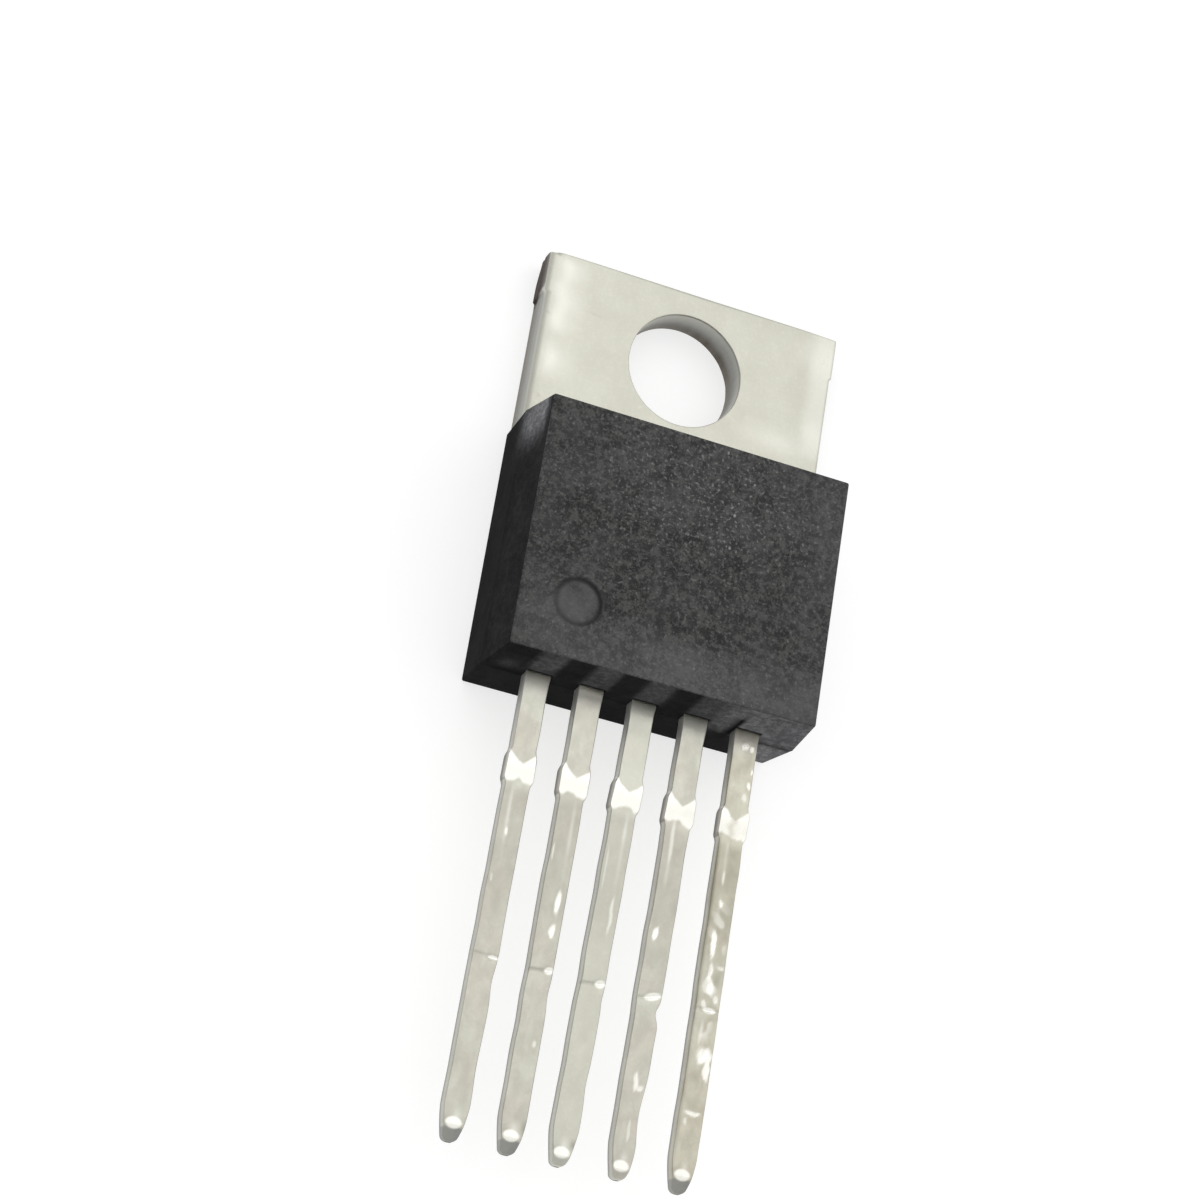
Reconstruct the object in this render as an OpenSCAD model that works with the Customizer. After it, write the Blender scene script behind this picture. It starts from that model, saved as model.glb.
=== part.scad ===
// Five-lead power package with straight leads: a copper heat tab whose centre lead is one piece
// with it, four further leads, the die with its solder and bond wires, and the moulded body.
// X runs across the leads, Y from the lead tips to the tab's end, and Z out of the front face.
// The origin is the centre of the tab's hole on the back face, on which the part lies.

/* [Body] */
// Width of the moulded body at its parting line
body_width = 10.24; // [9.7:0.02:10.7]
// Length of the moulded body at its parting line
body_length = 8.4; // [8:0.05:9.2]
// Thickness of the moulded body, from the tab's back to the front face
body_thickness = 4.2; // [3.8:0.05:4.8]
// Distance from the centre of the tab's hole to the body
hole_to_body = 3.3; // [2.9:0.05:3.8]
// How far each long side leans in, from the parting line to the front face
front_side_inset = 0.22; // [0.05:0.01:0.35]
// How far each end leans in, from the parting line to the front face
front_end_inset = 0.18; // [0.05:0.01:0.35]
// How far the sides and ends lean in, from the parting line to the back face
back_inset = 0.1; // [0.02:0.01:0.12]
// Radius of the round ejector mark on the front face
mark_radius = 0.73; // [0.4:0.01:1]
// Depth of the ejector mark
mark_depth = 0.05; // [0.02:0.01:0.15]
// Distance from the body's left side to the centre of the mark
mark_from_side = 2.05; // [1.5:0.05:3]
// Distance from the body's lead end to the centre of the mark
mark_from_end = 1.95; // [1.5:0.05:3]

/* [Heat tab] */
// Thickness of the tab
tab_thickness = 1.3; // [1:0.05:1.5]
// Moulding beside the tab's shoulder, at the back face
shoulder_cover = 0.08; // [0.04:0.01:0.3]
// Distance from the centre of the hole to the tab's end
hole_to_end = 2.7; // [2.3:0.05:3.1]
// Radius of the mounting hole
hole_radius = 1.9; // [1.6:0.05:2]
// How far the cut carrier-strip stubs stand out of the tab's sides
stub_height = 0.06; // [0.02:0.01:0.12]
// Length of the stubs along the tab's sides, from the tab's end
stub_length = 1.4; // [0.8:0.05:2]
// Step in from the tab's side to the side of the slab that carries the die
slab_inset = 0.84; // [0.4:0.02:1.4]
// Moulding between the slab's inner end and the body's lead end
slab_end_cover = 1.3; // [1.1:0.05:1.6]
// How far the tab keeps its full width inside the body
shoulder_depth = 0.3; // [0.2:0.05:0.6]

/* [Leads] */
// Distance from one lead to the next
lead_distance = 1.7; // [1.6:0.01:1.8]
// Width of a lead
lead_width = 0.8; // [0.6:0.02:0.9]
// Thickness of a lead
lead_thickness = 0.44; // [0.32:0.02:0.5]
// Length of the leads outside the body
lead_length = 14; // [12:0.1:15]
// Height of the leads' back face above the tab's back, which is the body's parting plane
lead_height = 2.1; // [1.95:0.05:2.4]
// Distance from the body to the middle of the cut dam bar
dam_distance = 2.9; // [2:0.1:4]
// Length of the cut dam bar along a lead
dam_length = 0.85; // [0.5:0.05:1.2]
// How far the cut dam bar stands out on each side of a lead
dam_height = 0.08; // [0.03:0.01:0.15]
// Width of a lead at its tip
tip_width = 0.42; // [0.3:0.02:0.55]
// Length over which a lead narrows to its tip
tip_taper = 1.1; // [0.6:0.1:1.6]
// Length of the bevel on the front of a lead's tip
tip_bevel = 0.5; // [0.2:0.05:0.55]
// Thickness that is left at the end of the bevel
tip_thickness = 0.24; // [0.14:0.02:0.28]
// Sideways bend of the input lead at its tip
input_sway = -0.18; // [-0.3:0.01:0.3]
// Sideways bend of the output lead at its tip
output_sway = -0.16; // [-0.3:0.01:0.3]
// Sideways bend of the ground lead at its tip
ground_sway = -0.3; // [-0.35:0.01:0.3]
// Sideways bend of the feedback lead at its tip
feedback_sway = -0.18; // [-0.3:0.01:0.3]
// Sideways bend of the enable lead at its tip
enable_sway = 0; // [-0.3:0.01:0.3]

/* [Inside] */
// Width of the bond post at the inner end of a lead
post_width = 1.2; // [0.9:0.05:1.35]
// Length of the bond post
post_length = 1.1; // [0.9:0.05:1.3]
// Distance from the body's lead end to the bond post
post_distance = 0.9; // [0.6:0.05:1.1]
// Width of the die
die_width = 3.6; // [3:0.1:4]
// Length of the die
die_length = 3.2; // [2.6:0.1:3.4]
// Thickness of the die
die_thickness = 0.36; // [0.25:0.01:0.45]
// Distance from the slab's inner end to the die
die_from_slab_end = 1.5; // [1.3:0.05:1.8]
// Thickness of the solder under the die
solder_thickness = 0.05; // [0.02:0.01:0.08]
// How far the solder stands out round the die
solder_margin = 0.1; // [0.05:0.01:0.2]
// Diameter of the input and output bond wires
power_wire = 0.3; // [0.2:0.01:0.38]
// Diameter of the ground bond wire
ground_wire = 0.25; // [0.15:0.01:0.3]
// Diameter of the feedback and enable bond wires
signal_wire = 0.15; // [0.1:0.01:0.2]
// Height of a bond wire's loop over its chord
wire_rise = 0.62; // [0.45:0.01:0.75]
// Distance between neighbouring bond pads on the die
pad_spacing = 0.68; // [0.6:0.02:0.72]
// Distance from the die's edge to the middle of its bond pads
pad_inset = 0.42; // [0.35:0.01:0.6]

/* [Hidden] */
$fn = 64;
// Overlap by which a cutting shape runs past the surface that it cuts
past = 1;

body_near = -hole_to_body;
body_far = body_near - body_length;
lead_front = lead_height + lead_thickness;
tip_y = body_far - lead_length;
slab_end = body_far + slab_end_cover;
tab_width = body_width - 2 * (back_inset + shoulder_cover);
slab_width = tab_width - 2 * slab_inset;

// Positions of the leads across the package, counted from the centre lead
INPUT = -2;
OUTPUT = -1;
GROUND = 0;
FEEDBACK = 1;
ENABLE = 2;

post_near = body_far + post_distance + post_length;
post_bond_y = post_near - post_length / 2;
solder_top = tab_thickness + solder_thickness;
die_top = solder_top + die_thickness;
die_end = slab_end + die_from_slab_end;
pad_y = die_end + pad_inset;
ground_bond_y = slab_end + (die_from_slab_end - solder_margin) / 2;

// Outline of the heat tab seen from the front: stubs at its end, a shoulder inside the body and
// the narrower slab under the die
module tab_outline() {
    translate([-tab_width / 2, body_near - shoulder_depth])
        square([tab_width, hole_to_end + hole_to_body + shoulder_depth]);
    translate([-tab_width / 2 - stub_height, hole_to_end - stub_length])
        square([tab_width + 2 * stub_height, stub_length]);
    translate([-slab_width / 2, slab_end])
        square([slab_width, body_near - slab_end]);
}

// Half outline of a lead outside the body, as distance from its middle against distance from
// the body
function lead_edge() = [
    [lead_width / 2, 0],
    [lead_width / 2, dam_distance - dam_length / 2 - dam_height],
    [lead_width / 2 + dam_height, dam_distance - dam_length / 2],
    [lead_width / 2 + dam_height, dam_distance + dam_length / 2],
    [lead_width / 2, dam_distance + dam_length / 2 + dam_height],
    [lead_width / 2, lead_length - tip_taper],
    [tip_width / 2, lead_length],
];

// One edge of a lead that is bent sideways: side is 1 or -1
function swayed_edge(side, sway) = [
    for (point = lead_edge())
        [side * point[0] + sway * point[1] / lead_length, body_far - point[1]]
];

// Outline of a lead outside the body
module lead_outline(sway) {
    right = swayed_edge(1, sway);
    left = swayed_edge(-1, sway);
    polygon(concat(right, [for (i = [len(left) - 1:-1:0]) left[i]]));
}

// The strip outside the body, with the bevel on the front of its tip
module outer_lead(slot, sway) {
    translate([slot * lead_distance, 0, 0])
        difference() {
            translate([0, 0, lead_height])
                linear_extrude(lead_thickness)
                    lead_outline(sway);
            rotate([90, 0, 90])
                translate([0, 0, -lead_distance])
                    linear_extrude(2 * lead_distance)
                        polygon([
                            [tip_y + tip_bevel, lead_front],
                            [tip_y, lead_height + tip_thickness],
                            [tip_y - past, lead_height + tip_thickness],
                            [tip_y - past, lead_front + past],
                            [tip_y + tip_bevel, lead_front + past],
                        ]);
        }
}

// The strip inside the body, with the bond post at its end
module inner_lead(slot) {
    translate([slot * lead_distance, 0, lead_height])
        linear_extrude(lead_thickness) {
            translate([-lead_width / 2, body_far])
                square([lead_width, post_distance]);
            translate([-post_width / 2, body_far + post_distance])
                square([post_width, post_length]);
        }
}

module separate_lead(slot, sway) {
    color([0.79, 0.78, 0.73])
        union() {
            outer_lead(slot, sway);
            inner_lead(slot);
        }
}

// The centre lead's way from the slab up to the lead plane
module ground_riser() {
    rotate([90, 0, 90])
        translate([0, 0, -lead_width / 2])
            linear_extrude(lead_width)
                polygon([
                    [slab_end, tab_thickness],
                    [slab_end, tab_thickness - lead_thickness],
                    [body_far + lead_thickness, lead_height],
                    [body_far, lead_height],
                    [body_far, lead_front],
                    [body_far + lead_thickness, lead_front],
                ]);
}

module heat_tab() {
    color([0.8, 0.79, 0.74])
        union() {
            difference() {
                linear_extrude(tab_thickness)
                    tab_outline();
                translate([0, 0, -past])
                    cylinder(r = hole_radius, h = tab_thickness + 2 * past);
            }
            ground_riser();
            outer_lead(GROUND, ground_sway);
        }
}

module input_lead() {
    separate_lead(INPUT, input_sway);
}

module output_lead() {
    separate_lead(OUTPUT, output_sway);
}

module feedback_lead() {
    separate_lead(FEEDBACK, feedback_sway);
}

module enable_lead() {
    separate_lead(ENABLE, enable_sway);
}

module die_solder() {
    color([0.6, 0.6, 0.58])
        translate([-die_width / 2 - solder_margin, die_end - solder_margin, tab_thickness])
            cube([die_width + 2 * solder_margin, die_length + 2 * solder_margin, solder_thickness]);
}

module regulator_die() {
    color([0.3, 0.32, 0.38])
        translate([-die_width / 2, die_end, solder_top])
            cube([die_width, die_length, die_thickness]);
}

// A loop of wire in a vertical plane from one bond to another: a circular arc through both
// bonds that rises over the chord between them, and runs on past each bond by one wire diameter
module wire_loop(start, end, diameter) {
    run = norm([end[0] - start[0], end[1] - start[1]]);
    climb = end[2] - start[2];
    chord = norm([run, climb]);
    radius = (chord * chord / 4 + wire_rise * wire_rise) / (2 * wire_rise);
    half_sweep = atan2(chord / 2, radius - wire_rise);
    extra = diameter / radius * 180 / PI;
    translate((start + end) / 2)
        rotate([0, 0, atan2(end[1] - start[1], end[0] - start[0])])
            rotate([0, -atan2(climb, run), 0])
                translate([0, 0, wire_rise - radius])
                    rotate([90, 0, 0])
                        rotate([0, 0, 90 - half_sweep - extra])
                            rotate_extrude(angle = 2 * (half_sweep + extra))
                                translate([radius, 0])
                                    circle(d = diameter, $fn = 24);
}

// A wire from the die's pad to the post of the lead in a slot, cut off at both surfaces
module post_wire(slot, diameter) {
    color([0.85, 0.86, 0.88])
        difference() {
            wire_loop(
                [slot * pad_spacing, pad_y, die_top],
                [slot * lead_distance, post_bond_y, lead_front],
                diameter
            );
            translate([-die_width / 2, die_end, die_top - past])
                cube([die_width, die_length, past]);
            inner_lead(slot);
        }
}

module input_bond_wire() {
    post_wire(INPUT, power_wire);
}

module output_bond_wire() {
    post_wire(OUTPUT, power_wire);
}

module feedback_bond_wire() {
    post_wire(FEEDBACK, signal_wire);
}

module enable_bond_wire() {
    post_wire(ENABLE, signal_wire);
}

module ground_bond_wire() {
    color([0.85, 0.86, 0.88])
        difference() {
            wire_loop([0, pad_y, die_top], [0, ground_bond_y, tab_thickness], ground_wire);
            translate([-die_width / 2, die_end, die_top - past])
                cube([die_width, die_length, past]);
            translate([-slab_width / 2, slab_end, tab_thickness - past])
                cube([slab_width, body_near - slab_end, past]);
        }
}

// The body's section across the leads, from its back to its front
module side_profile() {
    polygon([
        [-body_width / 2 + back_inset, 0],
        [body_width / 2 - back_inset, 0],
        [body_width / 2, lead_height],
        [body_width / 2 - front_side_inset, body_thickness],
        [-body_width / 2 + front_side_inset, body_thickness],
        [-body_width / 2, lead_height],
    ]);
}

// The body's section along the leads, from its back to its front
module end_profile() {
    polygon([
        [body_far + back_inset, 0],
        [body_near - back_inset, 0],
        [body_near, lead_height],
        [body_near - front_end_inset, body_thickness],
        [body_far + front_end_inset, body_thickness],
        [body_far, lead_height],
    ]);
}

module moulding() {
    intersection() {
        rotate([90, 0, 0])
            translate([0, 0, hole_to_body - past])
                linear_extrude(body_length + 2 * past)
                    side_profile();
        rotate([90, 0, 90])
            translate([0, 0, -body_width])
                linear_extrude(2 * body_width)
                    end_profile();
    }
}

module moulded_body() {
    color([0.17, 0.17, 0.18])
        difference() {
            moulding();
            translate([
                mark_from_side - body_width / 2,
                body_far + mark_from_end,
                body_thickness - mark_depth,
            ])
                cylinder(r = mark_radius, h = past);
            heat_tab();
            input_lead();
            output_lead();
            feedback_lead();
            enable_lead();
            die_solder();
            regulator_die();
            input_bond_wire();
            output_bond_wire();
            ground_bond_wire();
            feedback_bond_wire();
            enable_bond_wire();
        }
}

moulded_body();
heat_tab();
input_lead();
output_lead();
feedback_lead();
enable_lead();
regulator_die();
die_solder();
input_bond_wire();
output_bond_wire();
ground_bond_wire();
feedback_bond_wire();
enable_bond_wire();
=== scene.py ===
"""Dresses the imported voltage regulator: tinned copper tab and leads, moulded body, and the parts inside.

Every size is in millimetres in the part's own frame, with the origin in the centre of the tab's hole on the
back face, X across the leads, Y towards the tab's end and Z out of the front. Meshes are written in metres.
"""

from __future__ import annotations

import logging
import math
from collections.abc import Sequence
from dataclasses import dataclass, field
from enum import Enum
import bpy
import numpy as np
from mathutils import Matrix, Vector


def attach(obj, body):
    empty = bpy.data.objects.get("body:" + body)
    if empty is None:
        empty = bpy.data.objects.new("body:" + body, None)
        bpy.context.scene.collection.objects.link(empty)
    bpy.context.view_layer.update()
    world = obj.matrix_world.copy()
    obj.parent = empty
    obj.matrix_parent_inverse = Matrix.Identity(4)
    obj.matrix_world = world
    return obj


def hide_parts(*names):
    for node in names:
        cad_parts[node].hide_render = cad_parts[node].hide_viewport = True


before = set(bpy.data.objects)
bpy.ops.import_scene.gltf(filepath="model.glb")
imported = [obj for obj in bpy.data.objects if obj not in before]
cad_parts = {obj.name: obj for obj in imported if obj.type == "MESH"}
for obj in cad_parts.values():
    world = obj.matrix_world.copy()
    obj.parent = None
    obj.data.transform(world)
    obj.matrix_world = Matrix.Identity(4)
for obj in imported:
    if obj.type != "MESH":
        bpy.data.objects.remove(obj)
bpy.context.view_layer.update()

MM = 0.001
ROOT = "root"
PICTURE = 1200.0
log = logging.getLogger("voltage_regulator")


class Slot(Enum):
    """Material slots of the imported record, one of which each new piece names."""

    TINNED_COPPER = "tinned_copper"
    BLACK_EPOXY = "black_epoxy"


class Mark(Enum):
    """Vertex attributes that tell a finish how the surface was worked, and where light and shade are
    painted into its colour.
    """

    # Sheared faces, rougher and duller, whose darker colour is also painted shade on the sides, the tip's
    # bevel and the hole's rim.
    CUT = "cut"
    # Rubbed tin, which is smoother, and a painted highlight: the colour turns bright where a glint or sheen
    # is wanted.
    BURNISH = "burnish"
    BARE = "bare"
    # Real smudges and dull patches, and painted shade in creases, deep in the tab's hole and low on its
    # sides.
    SMUDGE = "smudge"
    # Haze on the moulding's front, and painted reflection and sheen on its walls.
    HAZE = "haze"
    # Painted shade in the moulding's grooves and dips, and painted shadow lines over the leads' exits.
    GROOVE = "groove"
    CALM = "calm"
    SPARKLE = "sparkle"


class Tip(Enum):
    """How a lead's tip shows its cut: a bevel darkened by painted shade behind a crest with a painted
    highlight, or a rounded end with a painted highlight.
    """

    BEVELLED = "bevelled"
    ROUNDED = "rounded"


class Position(Enum):
    """Place of a lead in the row, counted from the centre lead."""

    INPUT = -2
    OUTPUT = -1
    GROUND = 0
    FEEDBACK = 1
    ENABLE = 2


# Curves and fields


def smooth(value: np.ndarray) -> np.ndarray:
    """Rises from 0 to 1 as the value does, with level ends."""
    t = np.clip(value, 0.0, 1.0)
    return t * t * (3.0 - 2.0 * t)


def rise(value: np.ndarray, start: float, span: float) -> np.ndarray:
    """A soft step that leaves 0 at the start and reaches 1 a span further on."""
    return smooth((value - start) / span)


def fall(value: np.ndarray, end: float, span: float) -> np.ndarray:
    """A soft step that leaves 1 a span before the end and reaches 0 at the end."""
    return smooth((end - value) / span)


def hump(value: np.ndarray, width: float) -> np.ndarray:
    """A bell of height 1 over 0, which falls to 0.37 at the width."""
    return np.exp(-((value / width) ** 2))


def ripple(value: np.ndarray, seed: int, length: float) -> np.ndarray:
    """A smooth wandering curve between -1 and 1.

    Random heights stand one length apart along the value, and the curve eases from each to the next.

    Args:
        value: where the curve is read, in millimetres.
        seed: which curve it is.
        length: distance between two heights, in millimetres.

    Returns:
        The curve's height at each value.
    """
    heights = np.random.RandomState(seed).uniform(-1.0, 1.0, 512)
    place = value / length + 200.0
    step = np.floor(place).astype(int)
    low = heights[step % 512]
    high = heights[(step + 1) % 512]
    return low + (high - low) * smooth(place - step)


def stations(*spans: tuple[float, float, float]) -> np.ndarray:
    """Positions along an axis, as (start, end, widest spacing) for each stretch.

    Args:
        spans: the stretches, in order.

    Returns:
        All positions in rising order, with both ends of every stretch among them.
    """
    runs = [
        np.linspace(start, end, max(2, int(math.ceil((end - start) / spacing)) + 1))
        for start, end, spacing in spans
    ]
    return np.unique(np.round(np.concatenate(runs), 5))


def corner_steps(count: int) -> np.ndarray:
    """Shares of an edge zone from 0 to 1 that turn a rounded edge by even angles.

    A point at share t of the zone lies on the rounding at the angle whose tangent is t.
    """
    return np.tan(np.linspace(0.0, math.pi / 4.0, count))


def straight(start: tuple[float, float], end: tuple[float, float], count: int) -> np.ndarray:
    """Evenly spaced points on a straight run, one row of X and Y for each."""
    return np.linspace(start, end, count)


def turning(middle: tuple[float, float], radius: float, angles: np.ndarray) -> np.ndarray:
    """Points on a circle at the given angles, one row of X and Y for each."""
    return np.array(middle) + radius * np.stack([np.cos(angles), np.sin(angles)], -1)


# Meshes


@dataclass
class Surface:
    """A closed surface of quads with marks on its points.

    Attributes:
        points: one row of X, Y and Z in millimetres for each point.
        faces: one row of four point numbers for each quad, turning to face outwards.
        marks: how strongly each point carries each mark, from 0 to 1.
    """

    points: np.ndarray
    faces: np.ndarray
    marks: dict[Mark, np.ndarray] = field(default_factory=dict)

    def joined(self, other: "Surface") -> "Surface":
        """Puts another closed surface beside this one in the same mesh.

        Args:
            other: the surface that is added.

        Returns:
            One surface with both shells.
        """
        shift = len(self.points)
        keys = set(self.marks) | set(other.marks)
        marks = {
            key: np.concatenate(
                [
                    self.marks.get(key, np.zeros(shift)),
                    other.marks.get(key, np.zeros(len(other.points))),
                ]
            )
            for key in keys
        }
        points = np.concatenate([self.points, other.points])
        return Surface(points, np.concatenate([self.faces, other.faces + shift]), marks)

    def build(
        self,
        name: str,
        slot: Slot,
        finish: bpy.types.Material,
        wall_finish: bpy.types.Material | None = None,
        on_wall: np.ndarray | None = None,
    ) -> bpy.types.Object:
        """Makes the object, with its place in its mesh, and lets it ride on the part.

        Args:
            name: name of the object and its mesh.
            slot: the record's material slot for the piece; it is not used.
            finish: the main finish.
            wall_finish: a second finish, if the walls have their own.
            on_wall: 1 for each face that gets the second finish.

        Returns:
            The object, linked to the scene.
        """
        mesh = bpy.data.meshes.new(name)
        mesh.from_pydata((self.points * MM).tolist(), [], self.faces.tolist())
        mesh.polygons.foreach_set("use_smooth", np.ones(len(self.faces), bool))
        for mark, values in self.marks.items():
            layer = mesh.attributes.new(mark.value, "FLOAT", "POINT")
            layer.data.foreach_set("value", values.astype(np.float32))
        mesh.materials.append(finish)
        if wall_finish is not None and on_wall is not None:
            mesh.materials.append(wall_finish)
            mesh.polygons.foreach_set("material_index", on_wall.astype(np.int32))
        mesh.update()
        piece = bpy.data.objects.new(name, mesh)
        bpy.context.scene.collection.objects.link(piece)
        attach(piece, ROOT)
        log.info("%s: %d points, %d quads", name, len(self.points), len(self.faces))
        return piece


@dataclass
class BlockGrid:
    """Six grids on the faces of a block, welded along the block's edges.

    A point is known by its place in the block's own axes. A shape is made by moving these points, each
    face being a function of two of the axes while the third stays at its end.

    Attributes:
        across: positions along the first axis.
        along: positions along the second axis.
        high: positions along the third axis.
    """

    across: np.ndarray
    along: np.ndarray
    high: np.ndarray

    def places(self) -> np.ndarray:
        """The block coordinates of each surface point, one row a point."""
        grid = np.stack(np.meshgrid(self.across, self.along, self.high, indexing="ij"), -1)
        return grid[self._on_surface()]

    def _on_surface(self) -> np.ndarray:
        """Says which lattice points are on the outside of the block.

        Returns:
            True for each point at either end of any axis.
        """
        outside = np.zeros((len(self.across), len(self.along), len(self.high)), bool)
        outside[[0, -1]] = True
        outside[:, [0, -1]] = True
        outside[:, :, [0, -1]] = True
        return outside

    def quads(self) -> np.ndarray:
        """The quads of all six faces, turning so that each faces out of the block.

        Returns:
            One row of four point numbers for each quad.
        """
        outside = self._on_surface()
        number = np.full(outside.shape, -1)
        number[outside] = np.arange(int(outside.sum()))
        return np.concatenate(
            [
                grid_quads(number[:, :, -1], False),
                grid_quads(number[:, :, 0], True),
                grid_quads(number[-1, :, :], False),
                grid_quads(number[0, :, :], True),
                grid_quads(number[:, -1, :], True),
                grid_quads(number[:, 0, :], False),
            ]
        )


def grid_quads(number: np.ndarray, turned: bool) -> np.ndarray:
    """Quads between neighbouring points of a grid.

    Args:
        number: the point number at each place of the grid.
        turned: whether the quads face the other way.

    Returns:
        One row of four point numbers for each quad.
    """
    quads = np.stack([number[:-1, :-1], number[1:, :-1], number[1:, 1:], number[:-1, 1:]], -1)
    quads = quads.reshape(-1, 4)
    return quads[:, ::-1] if turned else quads


# Finishes


class NodeSheet:
    """Adds nodes to the tree of one material or node group and joins them."""

    def __init__(self, tree: bpy.types.NodeTree) -> None:
        """Takes the tree that the nodes go into."""
        self.tree = tree

    def add(self, kind: str, settings: dict | None = None, values: dict | None = None) -> bpy.types.Node:
        """Adds one node.

        Args:
            kind: Blender's type name for the node.
            settings: properties of the node by name.
            values: what its input sockets get, as constants or as other nodes' outputs.

        Returns:
            The new node.
        """
        node = self.tree.nodes.new(kind)
        for key, value in (settings or {}).items():
            setattr(node, key, value)
        for key, value in (values or {}).items():
            self.feed(node.inputs[key], value)
        return node

    def feed(self, socket: bpy.types.NodeSocket, value: object) -> None:
        """Joins an output to an input, or sets the input's constant.

        Args:
            socket: the input.
            value: another node's output, or a constant.
        """
        if isinstance(value, bpy.types.NodeSocket):
            self.tree.links.new(value, socket)
        else:
            socket.default_value = value

    def blend(self, share: object, low: object, high: object) -> bpy.types.NodeSocket:
        """Mixes two colours by a share and returns the mixed colour."""
        node = self.add("ShaderNodeMix", {"data_type": "RGBA"}, {0: share, 6: low, 7: high})
        return node.outputs[2]

    def between(self, share: object, low: object, high: object) -> bpy.types.NodeSocket:
        """Mixes two numbers by a share and returns the mixed number."""
        node = self.add("ShaderNodeMix", {"data_type": "FLOAT"}, {0: share, 2: low, 3: high})
        return node.outputs[0]

    def work_out(self, operation: str, first: object, second: object) -> bpy.types.NodeSocket:
        """Works out one arithmetic step and returns its result."""
        node = self.add("ShaderNodeMath", {"operation": operation}, {0: first, 1: second})
        return node.outputs[0]

    def times(self, first: object, second: object) -> bpy.types.NodeSocket:
        """Multiplies two numbers and returns the product."""
        return self.work_out("MULTIPLY", first, second)

    def ramp(self, value: object, start: float, end: float) -> bpy.types.NodeSocket:
        """Turns the span from start to end into a soft step from 0 to 1."""
        values = {"Value": value, "From Min": start, "From Max": end}
        node = self.add("ShaderNodeMapRange", {"interpolation_type": "SMOOTHSTEP"}, values)
        return node.outputs["Result"]

    def mark(self, mark: Mark) -> bpy.types.NodeSocket:
        """Reads one of the surface's marks."""
        node = self.add("ShaderNodeAttribute", {"attribute_name": mark.value})
        return node.outputs["Fac"]

    def millimetres(self) -> bpy.types.NodeSocket:
        """The object's own coordinates, in millimetres."""
        place = self.add("ShaderNodeTexCoord").outputs["Object"]
        scale = {"Vector": place, "Scale": (1000.0, 1000.0, 1000.0)}
        return self.add("ShaderNodeMapping", None, scale).outputs["Vector"]

    def stretched(self, place: object, scale: tuple[float, float, float]) -> bpy.types.NodeSocket:
        """Scales a place along each axis."""
        values = {"Vector": place, "Scale": scale}
        return self.add("ShaderNodeMapping", None, values).outputs["Vector"]

    def group(self, group: bpy.types.NodeTree, values: dict) -> bpy.types.Node:
        """Places a node group with its own values."""
        return self.add("ShaderNodeGroup", {"node_tree": group}, values)

    def skin(self, shader: bpy.types.Node, colour: object, rough: object, bump: dict) -> None:
        """Feeds a surface shader with what changes over the surface.

        Args:
            shader: the surface shader.
            colour: its colour.
            rough: its roughness.
            bump: height, strength and distance of the relief.
        """
        self.feed(shader.inputs["Base Color"], colour)
        self.feed(shader.inputs["Roughness"], rough)
        self.feed(shader.inputs["Normal"], self.add("ShaderNodeBump", None, bump).outputs[0])


def new_group(name: str, takes: dict[str, str], gives: dict[str, str]) -> tuple[NodeSheet, dict, dict]:
    """Starts a node group.

    Args:
        name: name of the group.
        takes: its input names with their socket types.
        gives: its output names with their socket types.

    Returns:
        The group's sheet, its input sockets by name, and the sockets that its outputs are fed through.
    """
    tree = bpy.data.node_groups.new(name, "ShaderNodeTree")
    for title, kind in takes.items():
        tree.interface.new_socket(name=title, in_out="INPUT", socket_type=kind)
    for title, kind in gives.items():
        tree.interface.new_socket(name=title, in_out="OUTPUT", socket_type=kind)
    sheet = NodeSheet(tree)
    entry = sheet.add("NodeGroupInput")
    leave = sheet.add("NodeGroupOutput")
    inputs = {title: entry.outputs[title] for title in takes}
    outputs = {title: leave.inputs[title] for title in gives}
    return sheet, inputs, outputs


NUMBER = "NodeSocketFloat"
COLOUR = "NodeSocketColor"
VECTOR = "NodeSocketVector"


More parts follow.
